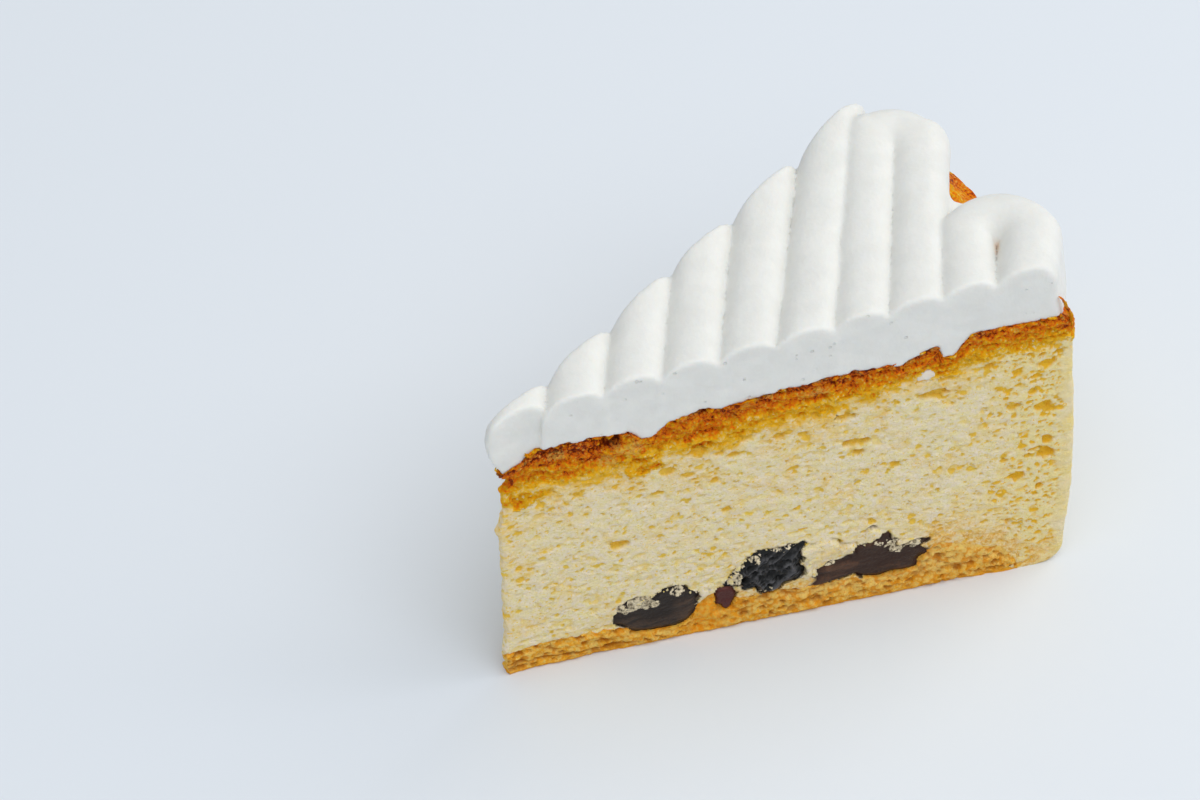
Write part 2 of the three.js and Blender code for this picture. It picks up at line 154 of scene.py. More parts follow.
# ---- Larger holes in the crumb: cut, place, half width, half height and depth ----
PITS = [
    (-1, 55.6, 33.9, 2.2, 0.75, 1.0), (-1, 56.0, 31.8, 1.1, 0.7, 0.9), (-1, 18.5, 22.3, 1.9, 0.75, 0.9),
    (-1, 53.7, 39.6, 1.6, 0.7, 1.0), (-1, 67.4, 40.6, 2.3, 0.9, 1.0), (-1, 17.2, 44.2, 1.7, 1.8, 3.2),
    (-1, 36.4, 36.4, 1.1, 0.5, 0.6), (-1, 30.6, 38.6, 1.1, 0.7, 0.8), (-1, 38.4, 39.4, 1.2, 0.7, 0.8),
    (-1, 43.4, 38.4, 0.9, 0.6, 0.6), (-1, 45.6, 31.2, 1.1, 0.4, 0.4), (-1, 35.3, 25.4, 0.8, 0.6, 0.5),
    (-1, 12.1, 34.7, 0.9, 0.6, 0.5), (-1, 26.1, 35.8, 1.2, 0.8, 0.7), (-1, 85.5, 42.6, 1.3, 0.9, 0.7),
    (-1, 80.8, 41.8, 0.9, 0.7, 0.6), (-1, 80.4, 34.7, 1.4, 0.7, 0.7), (-1, 85.3, 33.7, 1.5, 0.8, 0.7),
    (-1, 86.2, 26.6, 0.8, 1.0, 0.7), (-1, 86.1, 23.6, 1.5, 1.1, 0.9), (-1, 81.6, 20.1, 1.2, 0.9, 0.7),
    (-1, 83.4, 37.0, 0.6, 0.5, 0.5), (1, 30.0, 30.0, 2.1, 0.8, 1.0), (1, 66.0, 36.0, 2.2, 0.9, 1.0),
    (1, 48.0, 20.5, 1.7, 0.7, 0.9), (1, 84.0, 38.0, 1.4, 0.8, 0.7), (1, 85.5, 27.0, 1.3, 1.0, 0.8),
    (1, 81.5, 20.0, 1.1, 0.7, 0.6), (1, 20.0, 36.5, 1.5, 0.8, 0.8), (1, 52.0, 40.5, 1.3, 0.7, 0.8),
]

# ---- Piped cream ----
# The cream's top at the tip, and how much higher it is at the wall.
CREAM_TOP = 53.9
CREAM_RISE = 9.2
STRAND_HALF_WIDTH = 4.85
STRAND_CROWN = 5.6
STRAND_FOOT = 9
STRAND_FOOT_HALF_WIDTH = 4.75
STRAND_OVERRUN = 9
CREAM_TIP_HALF_WIDTH = 1.7
CREAM_TIP_REACH = 2.3
TIP_UNDERCUT = 2.6
# Where the cream's far end stands up: x, y, width and how much.
FAR_END = (74, 20, 7.5, 1.45)
# Cream pressed into a hollow of the crust: place on the front cut, half width and half height.
CREAM_SMEARS = [(66.5, 44.8, 1.8, 1.4)]
SMEAR_REACH = 1.2
# The hole inside the outer turn, which the crust below stains: x, y and the height it is open down to.
TURN_HOLE = (80.4, -12.2, 60.0)
# Cream squeezed out between the turns: x, y, height and radius.
CREAM_FILLS = [(81.2, -1.9, 54.6, 2.7)]
# 2 would make a strand's crown an ellipse, and more makes it squarer.
CROWN_POWER = 2.35
# Strands that run straight across: distance along the front cut and along the far one.
STRAIGHT_STRANDS = [(3.0, 4.5), (11.8, 18.1), (20.7, 32.5), (29.5, 46.0), (38.4, 61.0), (47.2, 76.9)]
# Strands that turn back: where they cross the front cut, the turn's middle, half width and reach, and the
# foot's half width.
TURNS = [
    (56.0, 64.3, (78.1, 11.6), 3.8, 4.7, 4.3),
    (72.6, 81.2, (80.2, -12.8), 5.0, 4.7, 5.9),
]
# How much further in each strand's cut end stands than the cut.
CUT_SETBACK = [0.9, 0, 0.25, 0, 0.2, 0.05, 0.25, 0.05]
# How much thicker the strand is where it turns.
TURN_SWELL = 0.08
# The room the cream is made in: from and to, along each axis.
CREAM_BOX = np.array([[-4.0, 92.0], [-29.0, 29.0], [38.5, 65.0]])
# How softly the grooves between strands and the cream's edges are rounded.
GROOVE_SOFTNESS = 0.4
CUT_EDGE_SOFTNESS = 0.4
BACK_EDGE_SOFTNESS = 1.3
TIP_EDGE_SOFTNESS = 1.6
# Points on a turn's middle line between one knot and the next.
CATMULL_STEPS = 8

# ---- Crumbs rubbed over the fruit: cut, place, half length, half height, how far out, tilt in degrees ----
CRUMBS = [
    (-1, 21.4, 9.5, 1.7, 0.55, 0.3, 8), (-1, 64.4, 11.0, 1.6, 0.5, 0.3, 16),
    (-1, 36.2, 9.6, 0.6, 0.6, 0.4, 0), (-1, 37.2, 12.4, 0.8, 0.5, 0.4, 40),
    (-1, 49.2, 7.9, 0.6, 0.9, 0.4, 10), (1, 35.0, 11.2, 1.5, 0.6, 0.3, -10), (1, 60.0, 12.2, 1.6, 0.6, 0.3, 8),
]
CRUMBS_BY_FRUIT = 14
# Fruit with a smaller half length has no crumbs around it.
SMALL_FRUIT = 3
# Flakes of crust along the top of the front cut.
CRUST_FLAKES = 60
# Curls of crust: path along the front cut and up, how thick and how wide.
CURLS = {
    "crust_curl_rim": ([(89.2, 48.8), (89.0, 51.0), (88.2, 53.2), (87.4, 54.8), (86.8, 55.5)], 0.42, 1.3),
    "crust_curl_tip": ([(4.2, 42.6), (2.0, 42.2), (0.4, 42.0), (-0.3, 42.8), (-0.3, 43.6)], 0.44, 1.1),
    "crust_crest": ([(63.9, 45.0), (65.0, 46.1), (66.2, 47.4), (67.6, 48.8), (68.5, 50.2)], 0.78, 1.8),
}

# ---- Meshes, masks and light ----
CUT_STEP = 0.3
WALL_STEP = 0.55
BASE_STEP = 0.26
CREAM_STEP = 0.4
SMALL_PITS = 150
# How far in from a cut its relief shows on the faces beside it.
CUT_REACH = 4
POCKET_ROOM = 0.9
# A fruit is this much larger than its pocket.
FRUIT_OVERLAP = 1.03
SHARP_ANGLE = math.radians(62)
MOST_TRIANGLES = 195000
CAKE_MASKS = ("brown", "grain", "pale", "tan", "gold", "wall", "pore", "stain_and_shade", "skin")
# Light on the front cut, against a white surface seen at full strength, and on the rougher and lower sponge.
FRONT_LIGHT = np.array([0.715, 0.765, 0.79])
SPONGE_LIGHT = FRONT_LIGHT * 0.84
MOST_REFLECTED = 0.97

# ---- Stage and camera ----
FLOOR_REACH = 6.0
CAMERA_PLACE = np.array([-312.4, -541.6, 639.9])
CAMERA_HEADING = math.radians(31.37)
CAMERA_PITCH = math.radians(43.01)
CAMERA_ROLL = math.radians(-1.03)
FOCAL_PIXELS = 5841
PHOTO_WIDTH = 1200
SENSOR = 36.0


# ---- Noise and small helpers ----
def smooth(t):
    """From 0 to 1 as t does, level at both ends."""
    t = np.clip(t, 0, 1)
    return t * t * (3 - 2 * t)


def bump(distance, width):
    """A bell, 1 at no distance."""
    return np.exp(-((distance / width) ** 2))


def turned(a, b, degrees):
    """A point on a flat, turned about its origin."""
    turn = math.radians(degrees)
    return a * math.cos(turn) - b * math.sin(turn), a * math.sin(turn) + b * math.cos(turn)


def lattice_value(i, j, k, seed):
    """A fixed pseudo-random number in 0..1 for each lattice point."""
    mixed = np.sin(i * 127.1 + j * 311.7 + k * 74.7 + seed * 19.19) * 43758.5453
    return mixed - np.floor(mixed)


def lumps(x, y, z, size, seed):
    """Smooth noise in -1..1 with lumps about `size` across, or of one size for each axis."""
    sizes = (size,) * 3 if np.isscalar(size) else (*size, 1)
    cells = [np.asarray(c, float) / s for c, s in zip((x, y, z), sizes)]
    base = [np.floor(c) for c in cells]
    part = [smooth(c - b) for c, b in zip(cells, base)]
    total = 0
    for corner in range(8):
        step = (corner & 1, corner >> 1 & 1, corner >> 2 & 1)
        weight = 1
        for on, p in zip(step, part):
            weight = weight * (p if on else 1 - p)
        total = total + weight * lattice_value(*(b + on for b, on in zip(base, step)), seed)
    return total * 2 - 1


def rough(x, y, z, size, seed, octaves=3):
    """Lumps with smaller lumps on them."""
    total, height = 0, 1.0
    for octave in range(octaves):
        scale = 0.5 ** octave
        sizes = size * scale if np.isscalar(size) else tuple(s * scale for s in size)
        total = total + height * lumps(x, y, z, sizes, seed + 10 * octave)
        height *= 0.55
    return total


def grains(x, y, sizes, seed):
    """Distance to the nearest grain's middle and to the next one, in grains, and the nearest's own number."""
    px, py = x / sizes[0], y / sizes[1]
    near, second, own = np.full(px.shape, 9.0), np.full(px.shape, 9.0), np.zeros(px.shape)
    for i, j in itertools.product((-1, 0, 1), repeat=2):
        cx, cy = np.floor(px) + i, np.floor(py) + j
        dx = cx + lattice_value(cx, cy, 1, seed) - px
        dy = cy + lattice_value(cx, cy, 2, seed) - py
        distance = np.hypot(dx, dy)
        closer = distance < near
        second = np.where(closer, near, np.minimum(second, distance))
        own = np.where(closer, lattice_value(cx, cy, 3, seed), own)
        near = np.where(closer, distance, near)
    return near, second, own


def patch_place(at, up, patch, edge=0.3):
    """How far out a point is from a ragged patch's middle, 1 at its edge."""
    out = np.hypot((at - patch[0]) / patch[2], (up - patch[1]) / patch[3])
    return out + edge * rough(at, up, 0, 1.6, patch[0], 2)


def holes_in(at, up, size, crowd, seed):
    """Small ragged holes at random places, 1 in a hole's middle and 0 outside. `crowd`: how many."""
    ragged = 0.22 * size[1]
    wide = at + ragged * lumps(at, up, 0, 0.6, seed + 1)
    high = up + ragged * lumps(at, up, 0, 0.6, seed + 2)
    near, _, own = grains(wide, high, size, seed)
    reach = 0.12 + 0.26 * (own * 7.3 % 1)
    return smooth((reach - near) / 0.16 + 0.5) * (own < crowd)


# ---- Plan and heights of the slice ----
def half_width(radius):
    return np.hypot(radius * math.sin(HALF_ANGLE), TIP_HALF_WIDTH)


def plan_point(radius, share):
    """A point that far from the tip, at that share of the way from the middle to a cut."""
    angle = share * HALF_ANGLE
    return radius * np.cos(angle), half_width(radius) * np.sin(angle) / math.sin(HALF_ANGLE)


def cut_point(at, cut):
    return np.array([at * math.cos(HALF_ANGLE), cut * at * math.sin(HALF_ANGLE)])


def cut_axes(cut):
    """Directions along a cut and outwards from it."""
    along = np.array([math.cos(HALF_ANGLE), cut * math.sin(HALF_ANGLE), 0])
    outward = np.array([-math.sin(HALF_ANGLE), cut * math.cos(HALF_ANGLE), 0])
    return along, outward


def off_cut(x, y, cut):
    """How far along a cut a point is, and how far out from it."""
    along, outward = cut_axes(cut)
    return x * along[0] + y * along[1], x * outward[0] + y * outward[1]


def spots_on(cut, at, out, up):
    """Points at places on a cut, and that far out from it."""
    along, outward = cut_axes(cut)
    points = along * at[:, None] + outward * out[:, None]
    points[:, 2] += up
    return points


def profile_height(radius):
    radii, heights = CRUST_PROFILE.T
    i = np.clip(np.searchsorted(radii, radius) - 1, 0, len(radii) - 2)
    return heights[i] + (heights[i + 1] - heights[i]) * smooth((radius - radii[i]) / (radii[i + 1] - radii[i]))


def crust_height(x, y, fine=1.0):
    """The crust's top: its profile, lumps and wrinkles, less the splits that run in from the front cut."""
    radius = np.hypot(x, y)
    height = profile_height(radius) + CRUST_LUMP_HEIGHT * lumps(x, y, 0, CRUST_LUMP, 1)
    height = height + fine * CRUST_WRINKLE_HEIGHT * rough(x, y, 0, CRUST_WRINKLE, 21)
    height = height + RIM_RISE * smooth((radius - 80) / 6) * smooth((y - 2) / 9)
    at, out = off_cut(x, y, -1)
    healed = smooth((SPLIT_END - SPLIT_REACH - out) / SPLIT_END)
    for place, flat, inner, outer, depth, top in CRUST_SPLITS:
        reach = np.where(at < place, inner, outer)
        slope = np.clip((np.abs(at - place) - flat) / (reach - flat), 0, 4)
        height = np.minimum(height, top - depth + depth * slope + 9 * healed)
    return height


def base_height(x, y, fine):
    """The base's top, which comes down to the floor at its outer end."""
    radius = np.hypot(x, y)
    height = BASE_THICKNESS + BASE_LUMP_HEIGHT * lumps(x, y, 0, BASE_LUMP, 2)
    height = height + fine * 0.35 * rough(x, y, 0, 1.5, 22)
    for place, width, rise in BASE_RISES:
        height = height + rise * bump(radius - place, width)
    return height * np.clip((BASE_RADIUS + 0.4 - radius) / BASE_END, 0, 1) ** 0.6


def wall_inset(z):
    """How far the wall stands in from the full radius: rounded at its foot and bulged above."""
    t = np.clip(z / BOTTOM_ROUNDING, 0, 1)
    bulge = WALL_BULGE * np.sin(math.pi * np.clip(z / CRUST_PROFILE[0, 1], 0, 1))
    return BOTTOM_ROUNDING * (1 - np.sqrt(1 - (1 - t) ** 2)) - bulge


# ---- Fruit outlines on the cuts, shared by the fruit and by the pockets that hold it ----
def fruit_place(name, at, up):
    """How far out a point on a cut is from a fruit's middle, 1 at its outline."""
    _, centre, height, half, tilt = FRUIT[name]
    along, across = turned(at - centre, up - height, -tilt)
    along, across = along / half[0], across / half[2]
    size = 0.98 + 0.03 * lumps(at, up, 0, FRUIT_LUMP, centre + height)
    size = size + 0.05 * rough(at, up, 0, 1.1, centre, 2) * smooth(across + 0.6)
    direction = np.degrees(np.arctan2(across, along))
    for angle, reach, width in FRUIT_KNOBS[name]:
        size = size + reach * bump((direction - angle + 180) % 360 - 180, width)
    return np.hypot(along, across) / size


def pocket_depth(at, up, cut):
    """How far the fruit's pockets reach in from a cut, and how far a point is from the nearest of them."""
    depth, nearest = 0 * at, np.full(at.shape, 9.0)
    for name, (side, _, _, half, _) in FRUIT.items():
        if side == cut:
            out = fruit_place(name, at, up)
            reach = half[1] * np.sqrt(np.clip(1 - out**2, 0, 1)) + POCKET_ROOM
            depth = np.maximum(depth, np.where(out < 1, reach, 0))
            nearest = np.minimum(nearest, (out - 1) * min(half[0], half[2]))
    return depth, nearest


# ---- Meshes ----
def shell(parts):
    """The surface of a box in whole steps: each point's steps, and the quads that join the points."""
    counts = tuple(part + 1 for part in parts)
    quads = []
    for axis in range(3):
        first, second = (axis + 1) % 3, (axis + 2) % 3
        a, b = np.meshgrid(np.arange(parts[first]), np.arange(parts[second]), indexing="ij")
        for end in (0, parts[axis]):
            corners = []
            for da, db in ((0, 0), (1, 0), (1, 1), (0, 1)):
                steps = [None, None, None]
                steps[axis], steps[first], steps[second] = np.full(a.shape, end), a + da, b + db
                corners.append(np.ravel_multi_index(steps, counts).ravel())
            quads.append(np.stack(corners if end else corners[::-1], 1))
    quads = np.concatenate(quads)
    keys, index = np.unique(quads, return_inverse=True)
    return np.stack(np.unravel_index(keys, counts), 1), index.reshape(quads.shape)


def piece(name, points, faces, material, masks, replaced=(), most=None):
    """A piece of the slice, from points in millimetres. Masks are numbers for the points, for its material."""
    mesh = bpy.data.meshes.new(name)
    mesh.from_pydata(((points - CENTRE) * MM).tolist(), [], faces.tolist())
    for mask, values in masks.items():
        mesh.attributes.new(mask, "FLOAT", "POINT").data.foreach_set("value", np.asarray(values, np.float32))
    mesh.polygons.foreach_set("use_smooth", np.ones(len(mesh.polygons), bool))
    mesh.materials.append(material)
    mesh.set_sharp_from_angle(angle=SHARP_ANGLE)
    obj = bpy.data.objects.new(name, mesh)
    bpy.context.scene.collection.objects.link(obj)
    triangles = (faces.shape[1] - 2) * len(faces)
    if most and triangles > most:
        obj.modifiers.new("thin", "DECIMATE").ratio = most / triangles
        bpy.context.view_layer.update()
        fewer = bpy.data.meshes.new_from_object(obj.evaluated_get(bpy.context.evaluated_depsgraph_get()))
        obj.modifiers.clear()
        obj.data = fewer
        fewer.name = name
        fewer.set_sharp_from_angle(angle=SHARP_ANGLE)
    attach(obj, "root")
    if replaced:
        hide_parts(*replaced)


def surface_net(field, origin, step):
    """The surface where a field on a regular grid passes through zero; the field is below zero inside."""
    inside = field < 0
    count = np.zeros(tuple(n - 1 for n in field.shape), np.int8)
    for corner in np.ndindex(2, 2, 2):
        count += inside[tuple(slice(c, n - 1 + c) for c, n in zip(corner, field.shape))]
    active = (count > 0) & (count < 8)
    cells = np.argwhere(active)
    number = np.full(active.shape, -1)
    number[active] = np.arange(len(cells))
    total, hits = np.zeros((len(cells), 3)), np.zeros(len(cells))
    units = np.eye(3, dtype=int)
    for axis, corner in itertools.product(range(3), np.ndindex(2, 2, 2)):
        if corner[axis]:
            continue
        near = cells + corner
        a, b = field[tuple(near.T)], field[tuple((near + units[axis]).T)]
        crossed = (a < 0) != (b < 0)
        share = a[crossed] / (a[crossed] - b[crossed])
        total[crossed] += corner + share[:, None] * units[axis]
        hits[crossed] += 1
    points = origin + (cells + total / hits[:, None]) * step
    quads = []
    for axis in range(3):
        first, second = units[(axis + 1) % 3], units[(axis + 2) % 3]
        low = [slice(1, -1)] * 3
        high = list(low)
        low[axis], high[axis] = slice(0, -1), slice(1, None)
        nodes = np.argwhere(inside[tuple(low)] != inside[tuple(high)]) + first + second
        ring = [nodes - first - second, nodes - second, nodes, nodes - first]
        quad = np.stack([number[tuple(r.T)] for r in ring], 1)
        outward = inside[tuple(nodes.T)]
        quads.append(np.where(outward[:, None], quad, quad[:, ::-1]))
    return points, np.concatenate(quads)


def ball(detail):
    """Points and triangles of a round ball of radius 1."""
    made = bmesh.new()
    bmesh.ops.create_icosphere(made, subdivisions=detail, radius=1)
    points = np.array([v.co for v in made.verts])
    faces = np.array([[v.index for v in f.verts] for f in made.faces])
    made.free()
    return points, faces


class Wedge:
    """The surface of a wedge like the slice, in even steps out from the tip, across and up."""

    def __init__(self, start, length, parts):
        self.parts = parts
        self.steps, self.quads = shell(parts)
        self.u, across, self.w = (self.steps / parts).T
        self.v = across * 2 - 1
        self.radius = start + length * self.u
        self.x, self.y = plan_point(self.radius, self.v)
        self.from_cut = (1 - np.abs(self.v)) * half_width(self.radius)
        # The top and the floor are rough only close to the cuts, and plain where other layers cover them.
        self.rough_share = smooth((3 - self.from_cut) / 2)

    def cuts(self, points):
        """For each cut its points' numbers and places, how deep the pockets are there and how close."""
        for cut in (-1, 1):
            on = np.flatnonzero(self.steps[:, 1] == (0 if cut < 0 else self.parts[1]))
            at, up = points[on] @ cut_axes(cut)[0], points[on, 2]
            yield cut, on, at, up, *pocket_depth(at, up, cut)

    def press(self, points, cut, on, push, depth):
        """Moves a cut's points out by `push`, those near it on other faces less, and cuts the pockets."""
        reach = np.minimum(CUT_REACH, half_width(self.radius))
        table = np.zeros((self.parts[0] + 1, self.parts[2] + 1))
        table[self.steps[on, 0], self.steps[on, 2]] = np.where(depth > 0, 0, np.clip(push, -0.6 * reach[on], 1))
        beside = (self.steps[:, 1] * 2 - self.parts[1]) * cut > 0
        share = np.clip(1 - self.from_cut / reach, 0, 1) * beside
        outward = cut_axes(cut)[1]
        points += (table[self.steps[:, 0], self.steps[:, 2]] * share)[:, None] * outward
        points[on] -= depth[:, None] * outward


# ---- Materials ----
class Finish:
    """A procedural material: named nodes are added with sockets or numbers for their inputs."""

    def __init__(self, name, **settings):
        self.material = bpy.data.materials.new(name)
        self.material.use_nodes = True
        self.tree = self.material.node_tree
        self.shader = next(n for n in self.tree.nodes if n.type == "BSDF_PRINCIPLED")
        self.place = self.add("ShaderNodeTexCoord").outputs["Object"]
        self.set(self.shader, settings)

    def set(self, node, inputs):
        for key, value in inputs.items():
            socket = node.inputs[key if isinstance(key, int) else key.replace("_", " ")]
            if isinstance(value, bpy.types.NodeSocket):
                self.tree.links.new(value, socket)
            else:
                socket.default_value = value

    def add(self, kind, inputs=None, **settings):
        node = self.tree.nodes.new(kind)
        for key, value in settings.items():
            setattr(node, key, value)
        self.set(node, inputs or {})
        return node

    def mask(self, name):
        return self.add("ShaderNodeAttribute", attribute_name=name).outputs["Fac"]

    def stretched(self, scale):
        return self.add("ShaderNodeMapping", {"Vector": self.place, "Scale": scale}).outputs["Vector"]

    def noise(self, size, detail=3, vector=None, roughness=0.6):
        """Noise with lumps about `size` millimetres across."""
        inputs = {"Vector": vector or self.place, "Scale": 1 / (size * MM), "Detail": detail}
        return self.add("ShaderNodeTexNoise", {**inputs, "Roughness": roughness}).outputs["Fac"]

    def cells(self, size):
        """Distance to the nearest cell's middle, with cells about `size` millimetres across."""
        inputs = {"Vector": self.place, "Scale": 1 / (size * MM)}
        return self.add("ShaderNodeTexVoronoi", inputs).outputs["Distance"]

    def math(self, operation, a, b, clamp=False):
        return self.add("ShaderNodeMath", {0: a, 1: b}, operation=operation, use_clamp=clamp).outputs[0]

    def times(self, value, *factors):
        for factor in factors:
            value = self.math("MULTIPLY", value, factor)
        return value

    def swing(self, value, middle, scale):
        """How far a value is from its middle, times `scale`."""
        return self.times(self.math("SUBTRACT", value, middle), scale)

    def between(self, value, low, high, to_low=0.0, to_high=1.0):
        """Value taken from low..high to to_low..to_high, and held there beyond."""
        inputs = {"Value": value, "From Min": low, "From Max": high, "To Min": to_low, "To Max": to_high}
        return self.add("ShaderNodeMapRange", inputs, interpolation_type="SMOOTHSTEP").outputs[0]

    def mix(self, share, a, b):
        return self.add("ShaderNodeMix", {0: share, 6: a, 7: b}, data_type="RGBA").outputs[2]

    def layers(self, shade, *layers):
        """A shade with others over it, each where its value goes from low to high, up to its share."""
        for value, low, high, share, over in layers:
            shade = self.mix(self.between(value, low, high, 0, share), shade, over)
        return shade

    def ramp(self, value, stops):
        node = self.add("ShaderNodeValToRGB", {"Fac": value})
        points = node.color_ramp.elements
        while len(points) < len(stops):
            points.new(0.5)
        for point, (place, shade) in zip(points, stops):
            point.position, point.color = place, shade
        return node.outputs["Color"]

    def bumps(self, height, depth, below=None):
        """Relief of that depth in millimetres, on top of `below`."""
        inputs = {"Height": height, "Distance": depth * MM, "Strength": 1.0}
        if below:
            inputs["Normal"] = below
        return self.add("ShaderNodeBump", inputs).outputs["Normal"]

    def done(self, **inputs):
        self.set(self.shader, inputs)
        return self.material


def seen(red, green, blue, light=FRONT_LIGHT):
    """A surface colour from a colour as seen, in 0..255, under that light."""
    shade = np.array([red, green, blue]) / 255
    linear = np.where(shade <= 0.04045, shade / 12.92, ((shade + 0.055) / 1.055) ** 2.4) / light
    return (*(linear / max(1, linear.max() / MOST_REFLECTED)), 1.0)


def crusty(*shade):
    """As seen(), for the sponge."""
    return seen(*shade, SPONGE_LIGHT)


def cake_masks(count, **values):
    """The cheesecake's masks for that many points, 0 where no values are given."""
    return {mask: values.get(mask, np.zeros(count)) for mask in CAKE_MASKS}


def cake_finish():
    """Pale crumb with golden pores, browned towards the crust, and a yellow skin, with painted highlights and
    shade on the crumb and the crust and a painted glow towards the wall. Its masks are CAKE_MASKS.
    """
    f = Finish("cheesecake", Specular_IOR_Level=0.15, Subsurface_Weight=0.2, Subsurface_Scale=0.5 * MM,
               Subsurface_Radius=(1.0, 0.8, 0.5))
    flat = f.stretched((0.9, 0.9, 1.2))
    fine, middle, large, cells = f.noise(0.45, 4, flat), f.noise(1.0, 4, flat), f.noise(5, 2), f.cells(0.62)
    gold, wall, brown = f.mask("gold"), f.mask("wall"), f.mask("brown")
    crumb = f.layers(
        seen(240, 230, 208),
        (middle, 0.36, 0.62, 1, seen(224, 214, 164)),
        # Painted highlights: small light specks on the crumb.
        (fine, 0.52, 0.68, 0.7, seen(250, 241, 224)),
        (fine, 0.47, 0.32, 0.8, seen(204, 190, 110)),
        (large, 0.35, 0.65, 0.3, seen(234, 222, 184)),
    )
    # Partly painted light: the golden crumb and its holes are drawn paler and brighter towards the wall, a glow
    # of light through the corner.
    golden = f.mix(wall, seen(244, 202, 96), seen(255, 239, 170))
    crumb = f.mix(f.times(gold, f.between(middle, 0.32, 0.6, 0.3, 0.95)), crumb, golden)
    speck = f.times(f.between(f.noise(0.55, 2, flat), 0.62, 0.7), f.math("ADD", 0.6, gold))
    hole = f.between(f.math("MAXIMUM", f.mask("pore"), speck), 0.05, 0.75)
    # The holes and creases take their own deeper golden colour, darkened as painted shade.
    hollow_shade = f.mix(gold, seen(220, 192, 74), f.mix(wall, seen(228, 172, 8), seen(255, 202, 20)))
    crumb = f.mix(f.times(hole, 0.92), crumb, hollow_shade)
    crumb = f.layers(crumb, (f.noise(0.34, 1), 0.72, 0.78, 0.35, seen(196, 152, 60)))
    tan = f.times(f.mask("tan"), f.between(f.noise(1.2, 4), 0.38, 0.58, 0.3, 1.0))
    crumb = f.mix(tan, crumb, f.layers(seen(206, 158, 66), (fine, 0.4, 0.6, 1, seen(248, 218, 148))))
    skin = f.layers(
        seen(255, 241, 200),
        (large, 0.3, 0.7, 1, seen(255, 234, 152)),
        (fine, 0.5, 0.66, 0.5, seen(255, 246, 206)),
    )
    crumb = f.mix(f.mask("skin"), crumb, skin)
    # Painted shade and light: besides flecks of random tone, the crust is browner at the edges of the cells,
    # which the relief sinks, and lighter at their middles.
    fleck_light_and_shade = f.math("ADD", f.swing(f.noise(0.4, 5, roughness=0.75), 0.5, 1.5), f.swing(cells, 0.48, 0.55))
    fleck_light_and_shade = f.math("ADD", fleck_light_and_shade, f.swing(f.noise(1.8, 3), 0.5, 0.8))
    browned = f.math("ADD", brown, f.times(fleck_light_and_shade, f.between(brown, 0, 0.4)), clamp=True)
    crust = f.ramp(browned, [
        (0.0, seen(246, 218, 130)), (0.12, seen(255, 204, 56)), (0.28, seen(255, 192, 16)),
        (0.42, seen(255, 174, 0)), (0.58, seen(252, 146, 0)), (0.76, seen(226, 108, 0)),
        (0.9, seen(172, 72, 0)), (1.0, seen(112, 36, 0)),
    ])
    # Painted highlights: pale peach spots on the middles of the crust's grains, joined below with the pale
    # flakes of the crust's own colour.
    pale = f.times(f.between(cells, 0.4, 0.2), f.between(f.noise(0.9, 3), 0.42, 0.56),
                   f.between(brown, 0.12, 0.35), f.between(f.mask("grain"), 0.2, 0.7, 0.35, 1.0))
    pale = f.math("MAXIMUM", pale, f.times(f.mask("pale"), f.between(fine, 0.42, 0.56)))
    crust = f.mix(f.times(pale, 0.75), crust, seen(255, 204, 96))
    shade = f.mix(f.between(browned, 0.03, 0.16), crumb, crust)
    # Partly syrup stain, partly painted shade: near black in the cracks, along the pockets' edges and inside
    # them.
    stain_and_shade = f.layers(seen(26, 20, 16), (fine, 0.4, 0.6, 1, seen(74, 50, 30)))
    shade = f.mix(f.mask("stain_and_shade"), shade, stain_and_shade)
    relief = f.bumps(f.noise(0.4, 5, flat), 0.45)
    relief = f.bumps(f.times(f.noise(0.5, 5, roughness=0.75), brown), 0.65, relief)
    relief = f.bumps(f.times(f.math("SUBTRACT", 1.0, cells), brown), 0.5, relief)
    return f.done(Base_Color=shade, Roughness=f.between(brown, 0.1, 0.8, 0.8, 0.55), Normal=relief)


def sponge_finish():
    """Crumbly golden sponge with a darker skin below, painted shade in its hollows and crevices and painted
    light on its grains. Masks: painted shade in the hollows, skin, syrup, pale.
    """
    f = Finish("sponge", Specular_IOR_Level=0.15, Subsurface_Weight=0.15, Subsurface_Scale=0.5 * MM,
               Subsurface_Radius=(1.0, 0.6, 0.3))
    fine, middle, wet = f.noise(0.5, 4), f.noise(1.3, 3), f.mask("syrup")
    shade = f.layers(
        crusty(204, 150, 40),
        (middle, 0.38, 0.6, 1, crusty(238, 200, 104)),
        (f.noise(2.8, 3), 0.5, 0.62, 0.6, crusty(232, 162, 18)),
    )
    pale = f.times(f.mask("pale"), f.between(middle, 0.35, 0.6, 0.5, 1.0))
    shade = f.layers(
        f.mix(pale, shade, crusty(242, 206, 116)),
        # Painted light and shade: light tops on the grains, and browner cell edges and crevices.
        (fine, 0.51, 0.62, 0.85, crusty(255, 220, 118)),
        (f.cells(0.85), 0.5, 0.78, 0.75, crusty(188, 120, 10)),
        (fine, 0.45, 0.33, 0.55, crusty(170, 104, 8)),
    )
    # Painted shade: the base's holes, crevices, split and fruit pockets are drawn dark brown.
    shade = f.mix(f.times(f.mask("hollow_shade"), 0.88), shade, crusty(150, 88, 14))
    syrup = f.layers(crusty(204, 130, 12), (f.noise(0.8, 4), 0.4, 0.6, 1, crusty(246, 192, 74)))
    shade = f.mix(wet, shade, syrup)
    skin = f.times(f.mask("skin"), f.between(middle, 0.3, 0.6, 0.4, 0.9))
    shade = f.mix(skin, shade, crusty(216, 152, 34))
    relief = f.bumps(f.noise(0.5, 5, roughness=0.65), 0.5)
    return f.done(Base_Color=shade, Roughness=f.between(wet, 0.3, 0.9, 0.8, 0.42), Normal=relief)


